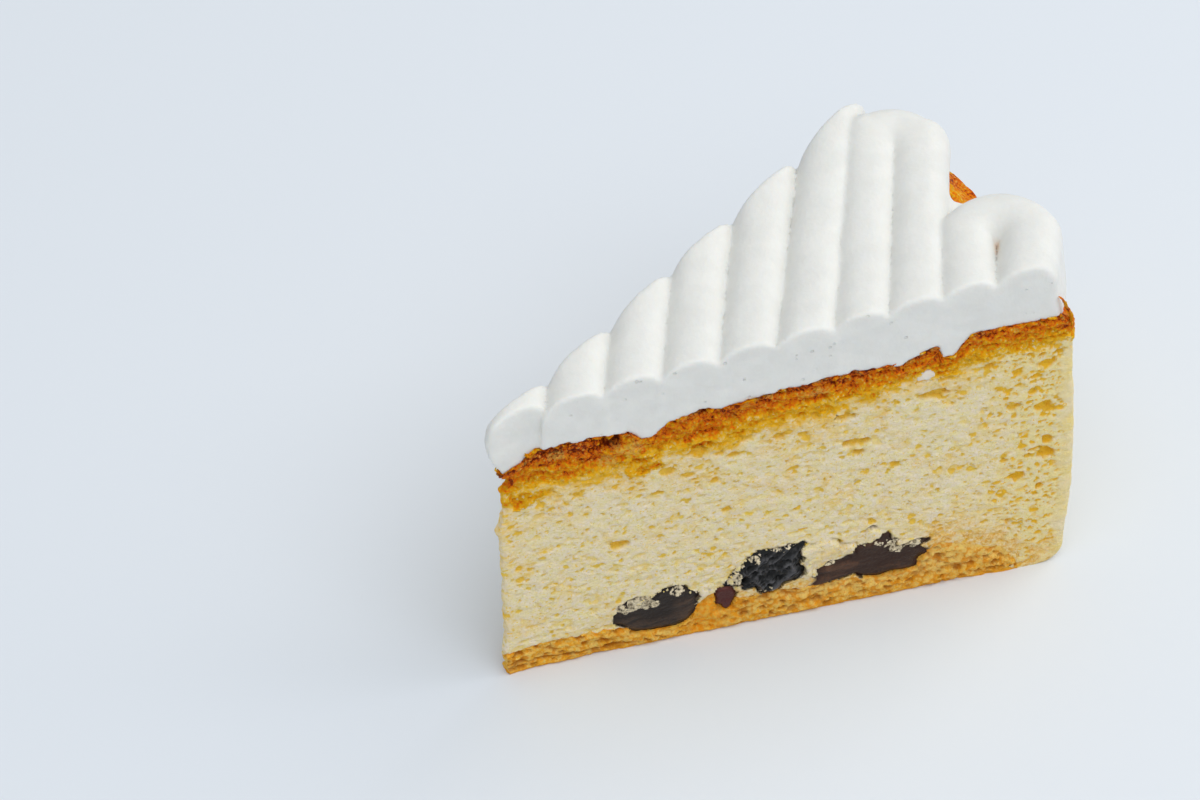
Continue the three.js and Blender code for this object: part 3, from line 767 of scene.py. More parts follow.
def cream_finish():
    """Whipped cream: matt and white, with small bubbles where the knife went through, drawn darker grey as
    painted shade. Masks: cut, stain.
    """
    f = Finish("cream", Specular_IOR_Level=0.25, Subsurface_Weight=0.5, Subsurface_Scale=1.4 * MM,
               Subsurface_Radius=(1.0, 0.85, 0.7))
    holes = f.times(f.between(f.cells(1.5), 0.2, 0.12), f.between(f.noise(4, 2), 0.54, 0.64), f.mask("cut"))
    shade = f.layers((0.785, 0.775, 0.735, 1), (f.noise(3.5, 3), 0.3, 0.7, 1, (0.82, 0.81, 0.77, 1)))
    # Painted shade: the bubbles are drawn darker grey.
    shade = f.mix(f.times(holes, 0.3), shade, (0.66, 0.66, 0.63, 1))
    stain = f.times(f.mask("stain"), f.between(f.noise(1.0, 3), 0.35, 0.6, 0.5, 1.0))
    shade = f.mix(stain, shade, seen(240, 190, 120))
    relief = f.bumps(f.noise(0.9, 4), 0.1)
    relief = f.bumps(f.math("SUBTRACT", 1.0, holes), 0.25, relief)
    return f.done(Base_Color=shade, Roughness=f.between(f.noise(1.2, 2), 0.3, 0.7, 0.5, 0.66), Normal=relief)


def fruit_finish(name, dark, light, edge, gloss):
    """Dark soaked fruit with fibres along it, and painted glints along the ridges of torn fruit. Masks: fibre
    with the glints, frost for crumb rubbed over it, rim for skin.
    """
    f = Finish(name, Specular_IOR_Level=0.25, Coat_Weight=gloss, Coat_Roughness=0.22)
    fine, patchy, frost = f.noise(0.5, 4), f.noise(0.6, 4), f.mask("frost")
    streak_and_glint = f.math("ADD", f.mask("fibre_and_glint"), f.swing(fine, 0.5, 0.7), clamp=True)
    # The light colour is fibre on whole fruit and painted glints on the ridges of torn fruit.
    shade = f.mix(f.mask("rim"), f.layers(dark, (streak_and_glint, 0.4, 1.0, 1, light)), edge)
    crumb = f.layers(
        seen(132, 122, 98),
        (patchy, 0.38, 0.62, 1, seen(214, 205, 176)),
        (f.noise(0.5, 3), 0.6, 0.72, 0.8, seen(44, 36, 28)),
    )
    rubbed = f.times(frost, f.between(patchy, 0.32, 0.66, 0.35, 1.6))
    shade = f.layers(shade, (rubbed, 0.34, 0.5, 1, crumb))
    relief = f.bumps(f.noise(0.45, 4), 0.16)
    relief = f.bumps(f.times(fine, frost), 0.7, relief)
    return f.done(Base_Color=shade, Roughness=f.between(fine, 0.3, 0.7, 0.32, 0.6), Normal=relief)


# ---- Cheesecake ----
def glow(radius):
    """How much yellower and brighter the crumb is drawn towards the wall: partly its own colour, partly a
    painted glow of light through the corner.
    """
    return smooth((radius - GLOW_START) / GLOW_WIDTH)


def seam_calm(at, away, width, fade):
    """How much relief is left near the seam between crumb and base, which is even on the outer half."""
    return 1 - 0.85 * smooth((at - 58) / 8) * smooth((width - away) / fade)


def small_pits(seed):
    """Pits at random, more below the crust and near the wall: place, half width, half height and depth."""
    chance = np.random.default_rng(seed)
    pits = []
    for _ in range(SMALL_PITS):
        at, up = chance.uniform(1, 89), chance.uniform(9, 48)
        below_crust = np.interp(at, *CRUST_BOTTOM.T) - up
        crowd = 0.07 + 0.9 * bump(below_crust - 1.5, 3) + 0.6 * bump(84 - at, 6)
        wide, high, deep = chance.uniform(0.4, 1.1), chance.uniform(0.3, 0.6), chance.uniform(0.3, 0.7)
        if chance.random() < crowd:
            pits.append((at, up, wide, high, deep))
    return pits


def cut_surface(at, up, under, over, cut):
    """Relief on a cut, outwards, and its masks, from the depth below the crust and the height over the base."""
    side = 40 + 10 * cut

    def lump(size, seed):
        return lumps(at, up, 0, size, side + seed)

    def grit(size, seed, octaves=3):
        return rough(at, up, 0, size, side + seed, octaves)

    thick = profile_height(at) - np.interp(at, *CRUST_BOTTOM.T)
    if cut > 0:
        thick = thick + 0.8 * lumps(at, 0, 0, 9, side)
    thick = thick + grit((3.6, 2.4), 1) + 0.6 * grit(1.1, 2)
    share = np.clip(under / np.maximum(thick, 1), 0, 2)
    brown = np.interp(share, *CUT_BROWNING.T) + 0.1 * bump(at - 10, 9) * (share < 1)
    pale = 0.9 * smooth((0.6 - under) / 0.4) * smooth(0.2 + 3 * lump(0.8, 16))
    if cut < 0:
        for tongue in GOLDEN_TONGUES:
            brown = np.maximum(brown, 0.28 * smooth((1.15 - patch_place(at, up, tongue)) / 0.3))
        for flake in PALE_FLAKES:
            pale = np.maximum(pale, smooth((1.1 - patch_place(at, up, flake, 0.5)) / 0.3))
    wall = CAKE_RADIUS - at
    gold = 1.1 * np.exp(-np.clip(under - thick, 0, 60) / 2.6) + bump(wall - 3, 7.5)
    gold = gold + 0.3 * np.exp(-at / 3) + 0.2 * smooth((at - 55) / 30)
    gold = np.clip(gold + 0.35 * grit(3.0, 3), 0, 1)

    # Small holes at random, more of them where the crumb is golden.
    pore = holes_in(at, up, (1.9, 1.2), 0.08 + 0.4 * gold, side + 4)
    pore = np.maximum(pore, 0.8 * holes_in(at, up, (1.15, 0.8), 0.16 + 0.3 * gold, side + 5))
    # Creases are drawn in the holes' colour, partly as painted shade.
    crease = smooth((lump((1.3, 0.7), 6) + 0.7 * lump((0.7, 0.45), 7) - 0.3) / 0.6)
    pore = np.maximum(pore, 0.42 * crease)
    push = 0.1 * lump((2.6, 2.0), 8) + 0.1 * lump((1.0, 0.8), 9) + 0.09 * lump(0.55, 10)
    push = push - 0.3 * pore - 0.08 * crease

    # Larger holes.
    hole = np.zeros(at.shape)
    for spot_at, spot_up, wide, high, deep in [pit[1:] for pit in PITS if pit[0] == cut] + small_pits(side):
        close = np.flatnonzero((np.abs(at - spot_at) < 2 * wide) & (np.abs(up - spot_up) < 2 * high))
        out = np.hypot((at[close] - spot_at) / wide, (up[close] - spot_up) / high)
        inside = smooth((1.12 - out - 0.35 * lumps(at[close], up[close], 0, 0.7, 5)) / 0.35)
        push[close] -= deep * inside
        hole[close] = np.maximum(hole[close], inside)
    pore = np.maximum(pore, hole)
    gold = np.maximum(gold, hole * 0.4)

    # The crust is craggy, with small grains on it and thin ledges along it.
    craggy = smooth(brown / 0.25)
    near, second, own = grains(at + 0.5 * lump(1.4, 11), up, (0.95, 0.7), side + 12)
    crack = smooth((0.2 - (second - near)) / 0.2) * (own < 0.45)
    crag = 0.22 * (own - 0.5) - 0.15 * crack + 0.5 * grit((2.6, 1.4), 17) + 0.2 * grit(0.8, 18, 2)
    ledge = smooth((lumps(at, under + 0.6 * crag, 0, (4.5, 1.1), side + 13) - 0.25) / 0.3)
    push = push * (1 - 0.4 * craggy) + craggy * (crag - 0.4 * ledge)
    # Painted shade and light: the brown mask is raised in the cracks between grains, under the ledges and in
    # the holes, and lowered on the high crags.
    brown = brown + craggy * (0.2 * ledge + 0.06 * crack - 0.16 * (own - 0.5) - 0.22 * crag)
    brown = brown + 0.5 * hole * smooth((brown - 0.3) / 0.2)
    # How much painted highlight each grain gets, less in the cracks.
    grain = np.clip(own - 0.4 * crack, 0, 1)

    # Towards the base the crumb turns tan: in patches on its outer half, and right above the base.
    tan = smooth((7.5 - over) / 6) * smooth((at - 52) / 16) * (0.8 + 0.6 * grit(1.8, 14))
    by_base = smooth((2.2 - over + 1.1 * grit(1.3, 19)) / 1.1)
    tan = np.maximum(tan, by_base * smooth((at - 33) / 3) * smooth((85 - at) / 5))

    # Lumps of crumb over the fruit, each with a dark line above: partly syrup stain, partly painted shade in
    # the crack.
    stain_and_shade = 0 * at
    for patch in [item[1:] for item in CRUMB_LUMPS if item[0] == cut]:
        out = patch_place(at, up, patch, 0.35)
        push = push + 0.5 * smooth((1.05 - out) / 0.35)
        pore = pore * (1 - smooth((1.1 - out) / 0.2))
        line = smooth((0.15 - np.abs(out - 1.1)) / 0.12) * smooth(((up - patch[1]) / patch[3] + 0.1) / 0.5)
        stain_and_shade = np.maximum(stain_and_shade, line * smooth(0.4 + 0.9 * lumps(at, up, 0, 1.5, patch[0])))
    push = push - 0.5 * stain_and_shade

    # The baked skin of the wall, where the cut meets it, is smooth and yellow.
    skin = smooth((2.6 - wall + lumps(up, 0, 0, 3, side + 15)) / 1.6) * smooth((under - 3) / 2)
    push = push * (1 - 0.5 * skin) * seam_calm(at, over, 1.0, 0.8)
    return push, {
        "brown": np.clip(brown, 0, 1), "grain": grain, "pale": pale * (1 - hole), "tan": np.clip(tan, 0, 1),
        "gold": gold, "wall": glow(at), "pore": pore * (1 - 0.7 * skin), "stain_and_shade": 0.85 * stain_and_shade,
        "skin": 0.9 * skin,
    }


def cheesecake(material):
    around, height = 2 * CAKE_RADIUS * HALF_ANGLE, CRUST_PROFILE[:, 1].max()
    parts = (round(CAKE_RADIUS / CUT_STEP), round(around / WALL_STEP), round(height / CUT_STEP))
    wedge = Wedge(0, CAKE_RADIUS, parts)
    u, v, w, radius, x, y = wedge.u, wedge.v, wedge.w, wedge.radius, wedge.x, wedge.y
    top = crust_height(x, y, np.maximum(wedge.rough_share, smooth((radius - 70) / 6)))
    even, low = profile_height(radius), base_height(x, y, wedge.rough_share)
    z = low * (1 - w) ** 4 + even * w + (top - even) * w**6
    points = np.stack([x, y, z], 1)

    # Rounded corners between the cuts and the wall, and at the tip.
    rounding = CORNER_ROUNDING + (WALL_ROUNDING - CORNER_ROUNDING) * smooth((radius - 80) / 5)
    reach_u = np.maximum(0, rounding - np.minimum(u, 1 - u) * CAKE_RADIUS)
    reach_v = np.maximum(0, rounding - wedge.from_cut)
    length = np.hypot(reach_u, reach_v)
    scale = np.where(length > rounding, rounding / np.maximum(length, 1e-9) - 1, 0)
    points[:, 0] += np.sign(u - 0.5) * reach_u * scale
    points[:, 1] += np.sign(v) * reach_v * scale
    points[:, :2] *= (1 - u * wall_inset(z) / CAKE_RADIUS)[:, None]

    # Masks over the whole surface: the top is crust, the wall a pale skin that browns at its upper edge.
    under, over = (top + even) / 2 - z, z - low
    wall_noise = rough(x, y, z, (6, 6, 2.2), 61)
    masks = cake_masks(
        len(points), brown=np.interp(under / (4.2 + 1.5 * wall_noise), *WALL_BROWNING.T),
        grain=smooth(0.5 + 0.5 * lumps(x, y, z, 1.2, 69)), wall=glow(radius),
        gold=np.clip(0.3 + 0.3 * wall_noise + 0.5 * np.exp(-z / 2.5), 0, 1),
        pore=0.6 * smooth((rough(x, y, z, (1.4, 1.4, 0.9), 62) - 0.75) / 0.3),
        skin=smooth((under - 3) / 3) * smooth(1.0 + 0.5 * wall_noise),
    )
    roof = wedge.steps[:, 2] == parts[2]
    masks["brown"][roof] = np.clip(0.56 + 0.28 * rough(x, y, z, 3.2, 63)[roof], 0.25, 0.95)
    masks["skin"][roof] = 0

    wall = (wedge.steps[:, 0] == parts[0]) & ~roof
    push = 0.16 * rough(x, y, z, (9, 9, 3.5), 64) - 0.2 * masks["pore"] + 0.05 * rough(x, y, z, 0.9, 65)
    push = push + 0.35 * smooth(masks["brown"] / 0.6) * rough(x, y, z, (2.2, 2.2, 1.2), 66)
    points[wall, :2] *= 1 + (push / CAKE_RADIUS)[wall, None]

    # The tip is as cut, and ragged.
    tip = wedge.steps[:, 0] == 0
    _, tip_masks = cut_surface(np.abs(y[tip]), z[tip], under[tip], over[tip], -1)
    for mask, values in tip_masks.items():
        masks[mask][tip] = values

    for cut, on, at, up, depth, near in wedge.cuts(points):
        push, cut_masks = cut_surface(at, up, under[on], over[on], cut)
        # A dark ring around each pocket, and its inside, partly syrup stain and partly painted shade where the
        # fruit meets the crumb.
        stain = np.maximum(0.1 + 0.35 * rough(at, up, 0, 0.9, 71 + cut, 2), 0.05 + 0.2 * smooth((at - 30) / 8))
        edge = 0.9 * smooth((stain - near) / 0.2)
        cut_masks["stain_and_shade"] = np.where(depth > 0, 1, np.maximum(cut_masks["stain_and_shade"], edge))
        for mask, values in cut_masks.items():
            masks[mask][on] = values
        wedge.press(points, cut, on, push * (0.3 + 0.7 * smooth(at / 2.5)), depth)

    # The tip's edge is a little uneven.
    ragged = 0.28 * rough(0, 0, z, 3.7, 67) + 0.2 * rough(x, y, z, 1.1, 68)
    for height, width, reach in (TIP_NOTCH, TIP_KNOB):
        ragged = ragged + reach * bump(z - height, width)
    points[:, 0] += smooth((TIP_REACH - radius) / TIP_REACH) * ragged

    # The bite out of the tip's crust.
    inside = points - [0, 0, TIP_BITE_HEIGHT]
    out = (inside / TIP_BITE) ** 2
    bitten = (out.sum(1) < 1) & (inside[:, 0] > -TIP_BITE[0])
    points[bitten, 0] = (TIP_BITE[0] * np.sqrt(np.clip(1 - out[:, 1] - out[:, 2], 0, 1)))[bitten]
    piece("cheesecake", points, wedge.quads, material, masks,
          ["cheesecake_body"], MOST_TRIANGLES)


# ---- Base ----
def sponge_base(material):
    wedge = Wedge(0.4, BASE_RADIUS - 0.1, (round(BASE_RADIUS / BASE_STEP), 70, 30))
    x, y, w = wedge.x, wedge.y, wedge.w
    top = base_height(x * BASE_STRETCH, y * BASE_STRETCH, wedge.rough_share) + BASE_OVERLAP
    z = top * w
    points = np.stack([x, y, z], 1)
    masks = {"hollow_shade": 0 * x, "skin": smooth((1.0 - z) / 0.9), "syrup": 0 * x,
             "pale": smooth((z - 2.4) / 1.8) * smooth((wedge.radius - 36) / 12)}
    for cut, on, at, up, depth, near in wedge.cuts(points):
        clump = rough(at, up, 0, (1.9, 1.1), 81 + cut)
        crumb = rough(at, up, 0, (0.9, 0.6), 84 + cut, 2)
        holes = holes_in(at, up, (2.4, 1.2), 0.5, 85 + cut)
        push = 0.3 * clump + 0.22 * crumb - 0.5 * holes + 0.15 * lumps(at, up, 0, 5, 89)
        # Painted shade for the low lumps and the holes.
        hollow_shade = np.maximum(0.8 * smooth(-0.25 - clump - 0.8 * crumb), 0.9 * holes)
        if cut < 0:
            # Near the tip the base's skin has come away along a line, which is drawn dark as painted shade in
            # the split.
            height, slope, end = BASE_SPLIT
            split = smooth((0.24 - np.abs(up - height - slope * at)) / 0.15) * smooth((end - at) / 5)
            push, hollow_shade = push - 0.7 * split, np.maximum(hollow_shade, 1.1 * split)
        calm = seam_calm(at, top[on] - up, 1.2, 0.9)
        push = push * (0.3 + 0.7 * smooth(up / 1.2)) * calm
        push = push - 0.3 * smooth((0.5 - up) / 0.5) * smooth((78 - at) / 5)
        wedge.press(points, cut, on, push, depth)
        # Inside the fruit's pockets the base is painted fully in shade.
        masks["hollow_shade"][on] = np.where(depth > 0, 1, np.clip(hollow_shade * calm, 0, 1))
        place, width = SYRUP_FRONT if cut < 0 else SYRUP_FAR
        soaked = bump(at - place, width) * (smooth((9.5 - up) / 3) if cut < 0 else 0.8)
        soaked = soaked + 0.35 * rough(at, up, 0, 1.6, 87) * (soaked > 0.1) + 0.8 * smooth((0.5 - near) / 0.5)
        masks["syrup"][on] = np.where(depth > 0, 0, np.clip(soaked, 0, 1))
    foot = (wedge.steps[:, 0] == 0) & (w > 0)
    points[foot, 0] -= 0.25 + 0.4 * rough(x, y, z, 1.5, 88)[foot]
    piece("sponge", points, wedge.quads, material, masks, ["sponge_base"], MOST_TRIANGLES)


# ---- Cream ----
def smooth_min(a, b, k):
    h = np.clip(0.5 + 0.5 * (b - a) / k, 0, 1)
    return b + (a - b) * h - k * h * (1 - h)


def smooth_max(a, b, k):
    return -smooth_min(-a, -b, k)


def turn_path(out, back, middle, radius, reach):
    """The middle line of a strand that turns back at the rim, as close points, and its furthest point."""
    centre = np.array(middle)
    start, end = cut_point(out, -1), cut_point(back, -1)
    axis = centre - (start + end) / 2
    axis /= np.linalg.norm(axis)
    across = np.array([-axis[1], axis[0]])
    knots = [start - axis * STRAND_OVERRUN] * 2 + [start]
    for angle in np.linspace(0, math.pi, 9):
        knots.append(centre + across * radius * math.cos(angle) + axis * reach * math.sin(angle))
    knots += [end] + [end - axis * STRAND_OVERRUN] * 2
    path = []
    for p0, p1, p2, p3 in zip(knots, knots[1:], knots[2:], knots[3:]):
        for t in np.arange(CATMULL_STEPS) / CATMULL_STEPS:
            path.append(0.5 * (2 * p1 + (p2 - p0) * t + (2 * p0 - 5 * p1 + 4 * p2 - p3) * t**2
                               + (3 * p1 - p0 - 3 * p2 + p3) * t**3))
    return np.array(path), centre + axis * reach


def distance_to_path(x, y, path):
    nearest = np.inf
    for a, b in zip(path, path[1:]):
        run = b - a
        t = np.clip(((x - a[0]) * run[0] + (y - a[1]) * run[1]) / max(run @ run, 1e-9), 0, 1)
        nearest = np.minimum(nearest, np.hypot(x - a[0] - t * run[0], y - a[1] - t * run[1]))
    return nearest


def past_cut(x, y):
    """How far out from the cuts a point of the cream is, with the tip rounded."""
    return (np.abs(y) - np.hypot(x * math.tan(HALF_ANGLE), CREAM_TIP_HALF_WIDTH)) * math.cos(HALF_ANGLE)


def piped_cream(material):
    """Strands joined on a grid, as a field that is below zero inside, then cut with the slice."""
    grid = [np.arange(a, b, CREAM_STEP) for a, b in CREAM_BOX]
    x, y, z = np.meshgrid(*grid, indexing="ij", sparse=True)
    axis_height = CREAM_TOP + CREAM_RISE * np.hypot(x, y) / CAKE_RADIUS - STRAND_CROWN
    axis_height = axis_height + 0.12 * lumps(x, y, 0, 6, 91)
    end_x, end_y, end_width, end_rise = FAR_END
    axis_height = axis_height + end_rise * bump(np.hypot(x - end_x, y - end_y), end_width)
    cut = past_cut(x, y) + 0.1 * rough(x, z, 0, (4, 2.4), 95, 2)
    front = smooth(0.3 - y / 0.8)
    drop = axis_height - z
    depth = np.clip(drop / STRAND_FOOT, 0, 1)
    softness = GROOVE_SOFTNESS + 1.8 * depth
    rise = np.maximum(-drop, 0) / STRAND_CROWN
    field = None
    strands = [(cut_point(near_at, -1), cut_point(far_at, 1)) for near_at, far_at in STRAIGHT_STRANDS] + TURNS
    for number, (strand, setback) in enumerate(zip(strands, CUT_SETBACK)):
        if len(strand) == 2:
            foot = STRAND_FOOT_HALF_WIDTH
            run = strand[1] - strand[0]
            across = np.array([-run[1], run[0]]) / np.linalg.norm(run)
            aside = np.abs((x - strand[0][0]) * across[0] + (y - strand[0][1]) * across[1])
        else:
            *turn, foot = strand
            path, far = turn_path(*turn)
            aside = distance_to_path(x, y, path) / (1 + TURN_SWELL * bump(np.hypot(x - far[0], y - far[1]), 6))
        aside = aside + 0.16 * lumps(x, y, 0, 5, 92 + number) + 0.07 * lumps(x, y, 0, 1.8, 102 + number)
        width = np.abs(aside / STRAND_HALF_WIDTH)
        crown = ((width**CROWN_POWER + rise**CROWN_POWER) ** (1 / CROWN_POWER) - 1) * STRAND_CROWN
        side = aside - STRAND_HALF_WIDTH + (STRAND_HALF_WIDTH - foot) * depth
        low_share = smooth((drop - 1) / 5)
        if number == 0:
            # The first strand rolls under at the tip.
            side = side + TIP_UNDERCUT * smooth(drop / 7) * smooth((3.5 - x) / 3.5)
            low_share = 0
        shape = smooth_max(np.where(drop < 0, crown, side), cut + setback * front * (1 - low_share), 0.6)
        field = shape if field is None else smooth_min(field, shape, softness)
    for place_x, place_y, height, ball_radius in CREAM_FILLS:
        fill = np.hypot(np.hypot(x - place_x, y - place_y), np.maximum(z - height, 0)) - ball_radius
        field = smooth_min(field, fill, 2.6)
    field = np.maximum(field, crust_height(np.maximum(x, 0), y) - z)
    at, out = off_cut(x, y, -1)
    for place, height, wide, tall in CREAM_SMEARS:
        blob = np.sqrt(((at - place) / wide) ** 2 + (out / SMEAR_REACH) ** 2 + ((z - height) / tall) ** 2)
        field = np.minimum(field, (blob - 1 + 0.28 * lumps(at, 0, 0, 1.1, 97)) * 1.1)
    field = smooth_max(field, cut, CUT_EDGE_SOFTNESS + (BACK_EDGE_SOFTNESS - CUT_EDGE_SOFTNESS) * smooth(y / 2))
    field = smooth_max(field, -CREAM_TIP_REACH - x, TIP_EDGE_SOFTNESS)
    points, quads = surface_net(field.astype(np.float32), CREAM_BOX[:, 0], CREAM_STEP)
    px, py, pz = points.T
    hole_x, hole_y, hole_top = TURN_HOLE
    hole = smooth((4.0 - np.hypot(px - hole_x, py - hole_y)) / 1.5) * smooth((hole_top - pz) / 2.5)
    place, height = CREAM_SMEARS[0][:2]
    smeared = smooth((2.4 - np.hypot(off_cut(px, py, -1)[0] - place, pz - height)) / 0.8)
    masks = {"cut": smooth((past_cut(px, py) + 0.7) / 0.5), "stain": np.maximum(0.45 * hole, 0.3 * smeared)}
    piece("cream", points, quads, material, masks, ["piped_cream"], MOST_TRIANGLES)


# ---- Fruit ----
def fruit(name, material, fibre_depth, torn=0.0):
    """A fruit's face in its pocket: fibres along it, and sharp ridges where it has been torn, drawn lighter as
    painted glints.
    """
    cut, centre, height, half, tilt = FRUIT[name]
    points, faces = ball(6 if half[0] > SMALL_FRUIT else 5)
    a, up = turned(points[:, 0] * half[0], points[:, 2] * half[2], tilt)
    deep = points[:, 1] * half[1]
    # The outline follows the pocket's: each point is moved out until it has the same place across it.
    out = fruit_place(name, centre + a, height + up)
    bare = np.hypot(points[:, 0], points[:, 2])
    grow = np.where(out > 1e-6, bare / np.maximum(out, 1e-6), 1) * FRUIT_OVERLAP
    a, up = a * grow, up * grow
    place_a, place_u = centre + a, height + up
    length, width = turned(a, up, -tilt - FRUIT_LEAN.get(name, 0))
    fibres = rough(length, width, 0, (5.5, 0.8), 111 + centre)
    folds = rough(length, width, 0, (4.6, 2.1), 112 + centre)
    ridge = 1 - 2.4 * np.abs(lumps(length, width, 0, (1.9, 1.1), 114))
    ridge = ridge + 0.7 * (1 - 2.4 * np.abs(lumps(length, width, 0, (0.8, 0.55), 115)))
    edge = smooth((bare - 0.66) / 0.34)
    frost = 0 * a
    for *patch, thick in FROSTING[name]:
        frost = np.maximum(frost, thick * smooth((1.25 - patch_place(place_a, place_u, patch, 0.5)) / 0.7))
    face = 0.12 + fibre_depth * (0.35 * fibres + 0.65 * folds) + torn * ridge * (1 - edge) - 0.42 * edge**2
    face = face + frost * (0.15 + 0.25 * rough(place_a, place_u, 0, 0.9, 113))
    on_face = deep > face
    masks = {
        # Fibres, and painted glints on the torn ridges.
        "fibre_and_glint": np.clip(0.46 - 0.5 * torn + 0.13 * fibres + 0.28 * folds + 1.2 * torn * ridge, 0, 1),
        "frost": np.clip(frost * on_face, 0, 1),
        "rim": smooth((bare - 0.86) / 0.14) * (deep > face - 0.1),
    }
    spots = spots_on(cut, place_a, np.where(on_face, face, deep), place_u)
    piece(name + "_flesh", spots, faces[:, ::cut], material, masks, [name])


# ---- Crumbs of the cake rubbed over the fruit, flakes of crust, and thin curls of crust ----
def crumb_shape(seed, half):
    points, faces = ball(3)
    size = 1 + 0.42 * rough(*(points * 1.4).T, 1.0, seed) + 0.18 * lumps(*(points * 4).T, 1.0, seed + 1)
    return points * size[:, None] * half, faces


def crumbs(material):
    """Crumbs at the fruit, some at set places and some around each, and flakes along the front cut's top."""
    chance = np.random.default_rng(5)
    items = [(*item, 0) for item in CRUMBS]
    for cut, centre, height, half, tilt in FRUIT.values():
        for _ in range(CRUMBS_BY_FRUIT if half[0] > SMALL_FRUIT else 0):
            angle, out = chance.uniform(0.1, 0.9) * math.pi, chance.uniform(0.84, 1.02)
            a, up = turned(half[0] * out * math.cos(angle), half[2] * out * math.sin(angle), tilt)
            size, lean = chance.uniform(0.1, 0.26), chance.uniform(-30, 30)
            items.append((cut, centre + a, height + up, size * 1.3, size * 0.8, 0.25, lean, 0))
    flake_at = chance.uniform(4, 88, CRUST_FLAKES)
    flake_up = crust_height(*cut_point(flake_at, -1)) + chance.uniform(-0.5, 0.2, CRUST_FLAKES)
    for at, up in zip(flake_at, flake_up):
        size, lean, brown = chance.uniform(0.15, 0.5), chance.uniform(-40, 40), chance.uniform(0.3, 0.9)
        items.append((-1, at, up, size * 1.7, size * 0.6, 0.45, lean, brown))
    spots, meshes, browns, count = [], [], [], 0
    for number, (cut, at, up, long, high, proud, tilt, brown) in enumerate(items):
        points, faces = crumb_shape(120 + number, np.array([long, 0.5 + 0.35 * high, high]))
        a, b = turned(points[:, 0], points[:, 2], tilt)
        out = np.minimum(points[:, 1] - 0.3, proud * 0.5 + 0.3 * points[:, 1]) - 0.1
        spots.append(spots_on(cut, at + a, out, up + b))
        meshes.append(faces[:, ::cut] + count)
        browns.append(np.full(len(points), brown))
        count += len(points)
    points = np.concatenate(spots)
    masks = cake_masks(count, brown=np.concatenate(browns), gold=np.full(count, 0.08),
                       pore=0.5 * smooth((rough(*points.T, 0.9, 131) - 0.4) / 0.4))
    piece("crumbs", points, np.concatenate(meshes), material, masks)


def curl(name, material):
    """A ball drawn out along a curl's path, thinner towards its far end."""
    path, thick, wide = CURLS[name]
    points, faces = ball(4)
    share = (points[:, 0] + 1) / 2
    curves = [np.polyfit(np.linspace(0, 1, len(path)), values, 3) for values in np.transpose(path)]
    at, up = (np.polyval(curve, share) for curve in curves)
    run = np.stack([np.polyval(np.polyder(curve), share) for curve in curves], 1)
    run /= np.linalg.norm(run, axis=1)[:, None]
    blunt = np.maximum(1 - points[:, 0] ** 2, 1e-6) ** -0.3
    offset = points[:, 2] * blunt * thick / 2 * (1.25 - 0.7 * share)
    inward = wide / 2 * (1.1 - 0.75 * share) * (1 + points[:, 1] * blunt) - 0.15
    at, up = at - run[:, 1] * offset, up + run[:, 0] * offset
    noise = rough(at, up, inward, 0.9, 141)
    spots = spots_on(-1, at + 0.18 * noise, -inward * (1 + 0.25 * noise), up + 0.12 * noise)
    masks = cake_masks(len(points), brown=np.clip(0.55 + 0.3 * rough(*spots.T, 1.2, 142), 0.3, 1),
                       gold=np.ones(len(points)), grain=smooth(0.5 + 0.5 * lumps(*spots.T, 0.8, 143)))
    piece(name, spots, faces, material, masks)


# ---- Stage, light and camera ----
def floor():
    f = Finish("floor", Roughness=0.9, Specular_IOR_Level=0.2)
    f.done(Base_Color=f.mix(f.noise(400, 2), (0.755, 0.791, 0.838, 1), (0.769, 0.803, 0.848, 1)))
    mesh = bpy.data.meshes.new("floor")
    corners = [(x * FLOOR_REACH, y * FLOOR_REACH, 0) for x, y in ((-1, -1), (1, -1), (1, 1), (-1, 1))]
    mesh.from_pydata(corners, [], [(0, 1, 2, 3)])
    mesh.materials.append(f.material)
    obj = bpy.data.objects.new("floor", mesh)
    bpy.context.scene.collection.objects.link(obj)


def area_light(name, place, size, watts, tint):
    lamp = bpy.data.lights.new(name, "AREA")
    lamp.shape = "RECTANGLE"
    lamp.size, lamp.size_y = size
    lamp.energy = watts
    lamp.color = tint
    obj = bpy.data.objects.new(name, lamp)
    obj.location = place
    obj.rotation_euler = (Vector((0, 0, 0.02)) - Vector(place)).to_track_quat("-Z", "Y").to_euler()
    bpy.context.scene.collection.objects.link(obj)


def light():
    world = bpy.data.worlds.new("studio")
    world.use_nodes = True
    background = world.node_tree.nodes["Background"]
    background.inputs["Color"].default_value = (0.9, 0.955, 1.0, 1)
    background.inputs["Strength"].default_value = 0.48
    bpy.context.scene.world = world
    area_light("window", (1.05, -0.12, 0.95), (1.2, 1.1), 7.0, (1.0, 0.985, 0.965))
    area_light("ceiling", (-0.15, -0.86, 1.72), (1.8, 1.8), 19.4, (0.97, 0.985, 1.0))


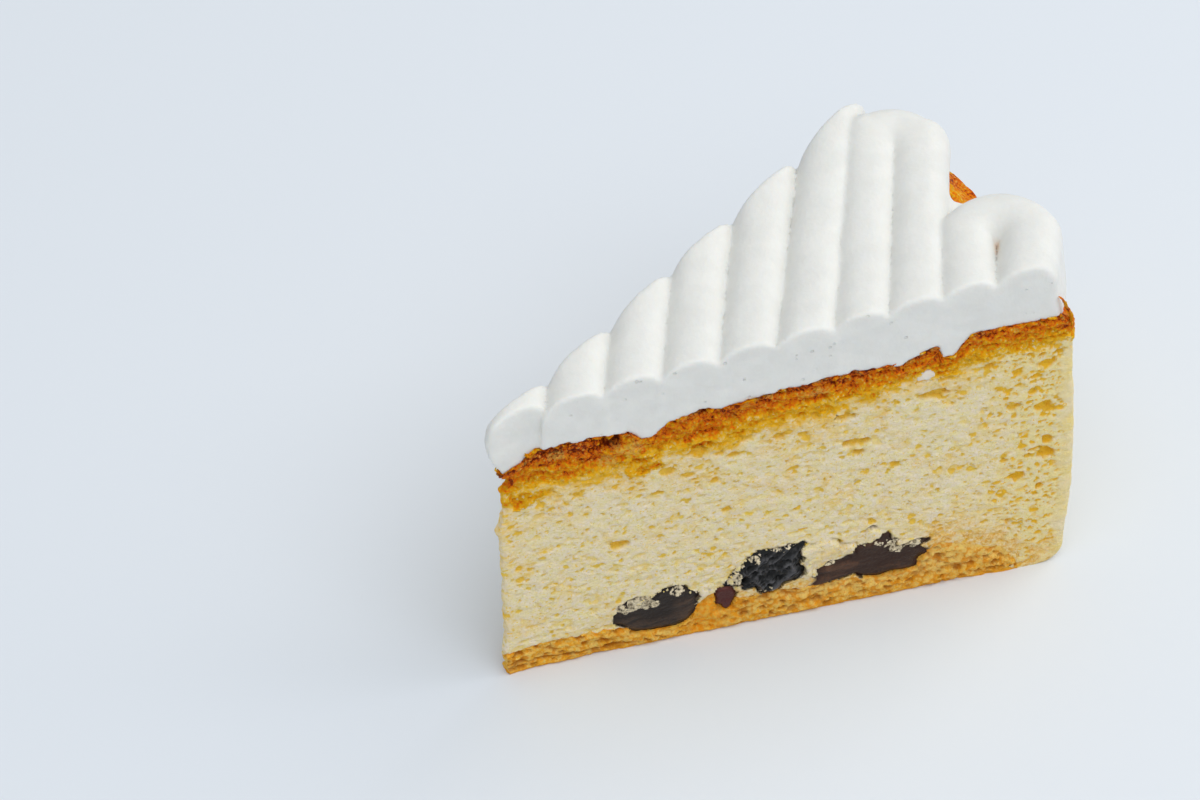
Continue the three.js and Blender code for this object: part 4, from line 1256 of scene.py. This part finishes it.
def camera():
    data = bpy.data.cameras.new("camera")
    data.sensor_fit = "HORIZONTAL"
    data.sensor_width = SENSOR
    data.lens = FOCAL_PIXELS * SENSOR / PHOTO_WIDTH
    obj = bpy.data.objects.new("camera", data)
    turn = (Matrix.Rotation(-CAMERA_HEADING, 4, "Z") @ Matrix.Rotation(math.pi / 2 - CAMERA_PITCH, 4, "X")
            @ Matrix.Rotation(CAMERA_ROLL, 4, "Z"))
    obj.matrix_world = Matrix.Translation(Vector((CAMERA_PLACE - CENTRE) * MM)) @ turn
    bpy.context.scene.collection.objects.link(obj)
    bpy.context.scene.camera = obj


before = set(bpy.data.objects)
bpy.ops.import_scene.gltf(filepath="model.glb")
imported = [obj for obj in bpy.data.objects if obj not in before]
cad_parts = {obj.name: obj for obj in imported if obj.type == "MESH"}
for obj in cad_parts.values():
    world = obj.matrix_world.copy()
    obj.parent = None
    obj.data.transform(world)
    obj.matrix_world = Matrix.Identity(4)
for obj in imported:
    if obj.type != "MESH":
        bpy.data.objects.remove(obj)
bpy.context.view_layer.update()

cake = cake_finish()
cheesecake(cake)
sponge_base(sponge_finish())
piped_cream(cream_finish())
plum = fruit_finish("prune_flesh", seen(28, 20, 15), seen(66, 50, 38), seen(24, 12, 9), 0.12)
# Its light colour is painted glints on the ridges of torn fruit.
berry = fruit_finish("berry_flesh", seen(4, 4, 4), seen(68, 69, 72), seen(7, 7, 7), 0.22)
purple = fruit_finish("plum_flesh", seen(43, 25, 15), seen(84, 57, 40), seen(46, 20, 15), 0.08)
stained = fruit_finish("stained_flesh", seen(64, 24, 20), seen(92, 42, 34), seen(72, 32, 18), 0.15)
fruit("fruit_left", plum, 0.12)
fruit("fruit_small", stained, 0.12)
fruit("fruit_middle", berry, 0.25, 0.34)
fruit("fruit_right", purple, 0.16)
fruit("fruit_back_inner", berry, 0.25, 0.3)
fruit("fruit_back_outer", plum, 0.18)
crumbs(cake)
for curl_name in CURLS:
    curl(curl_name, cake)

floor()
light()
camera()
view = bpy.context.scene.view_settings
view.view_transform = "Standard"
view.look = "None"
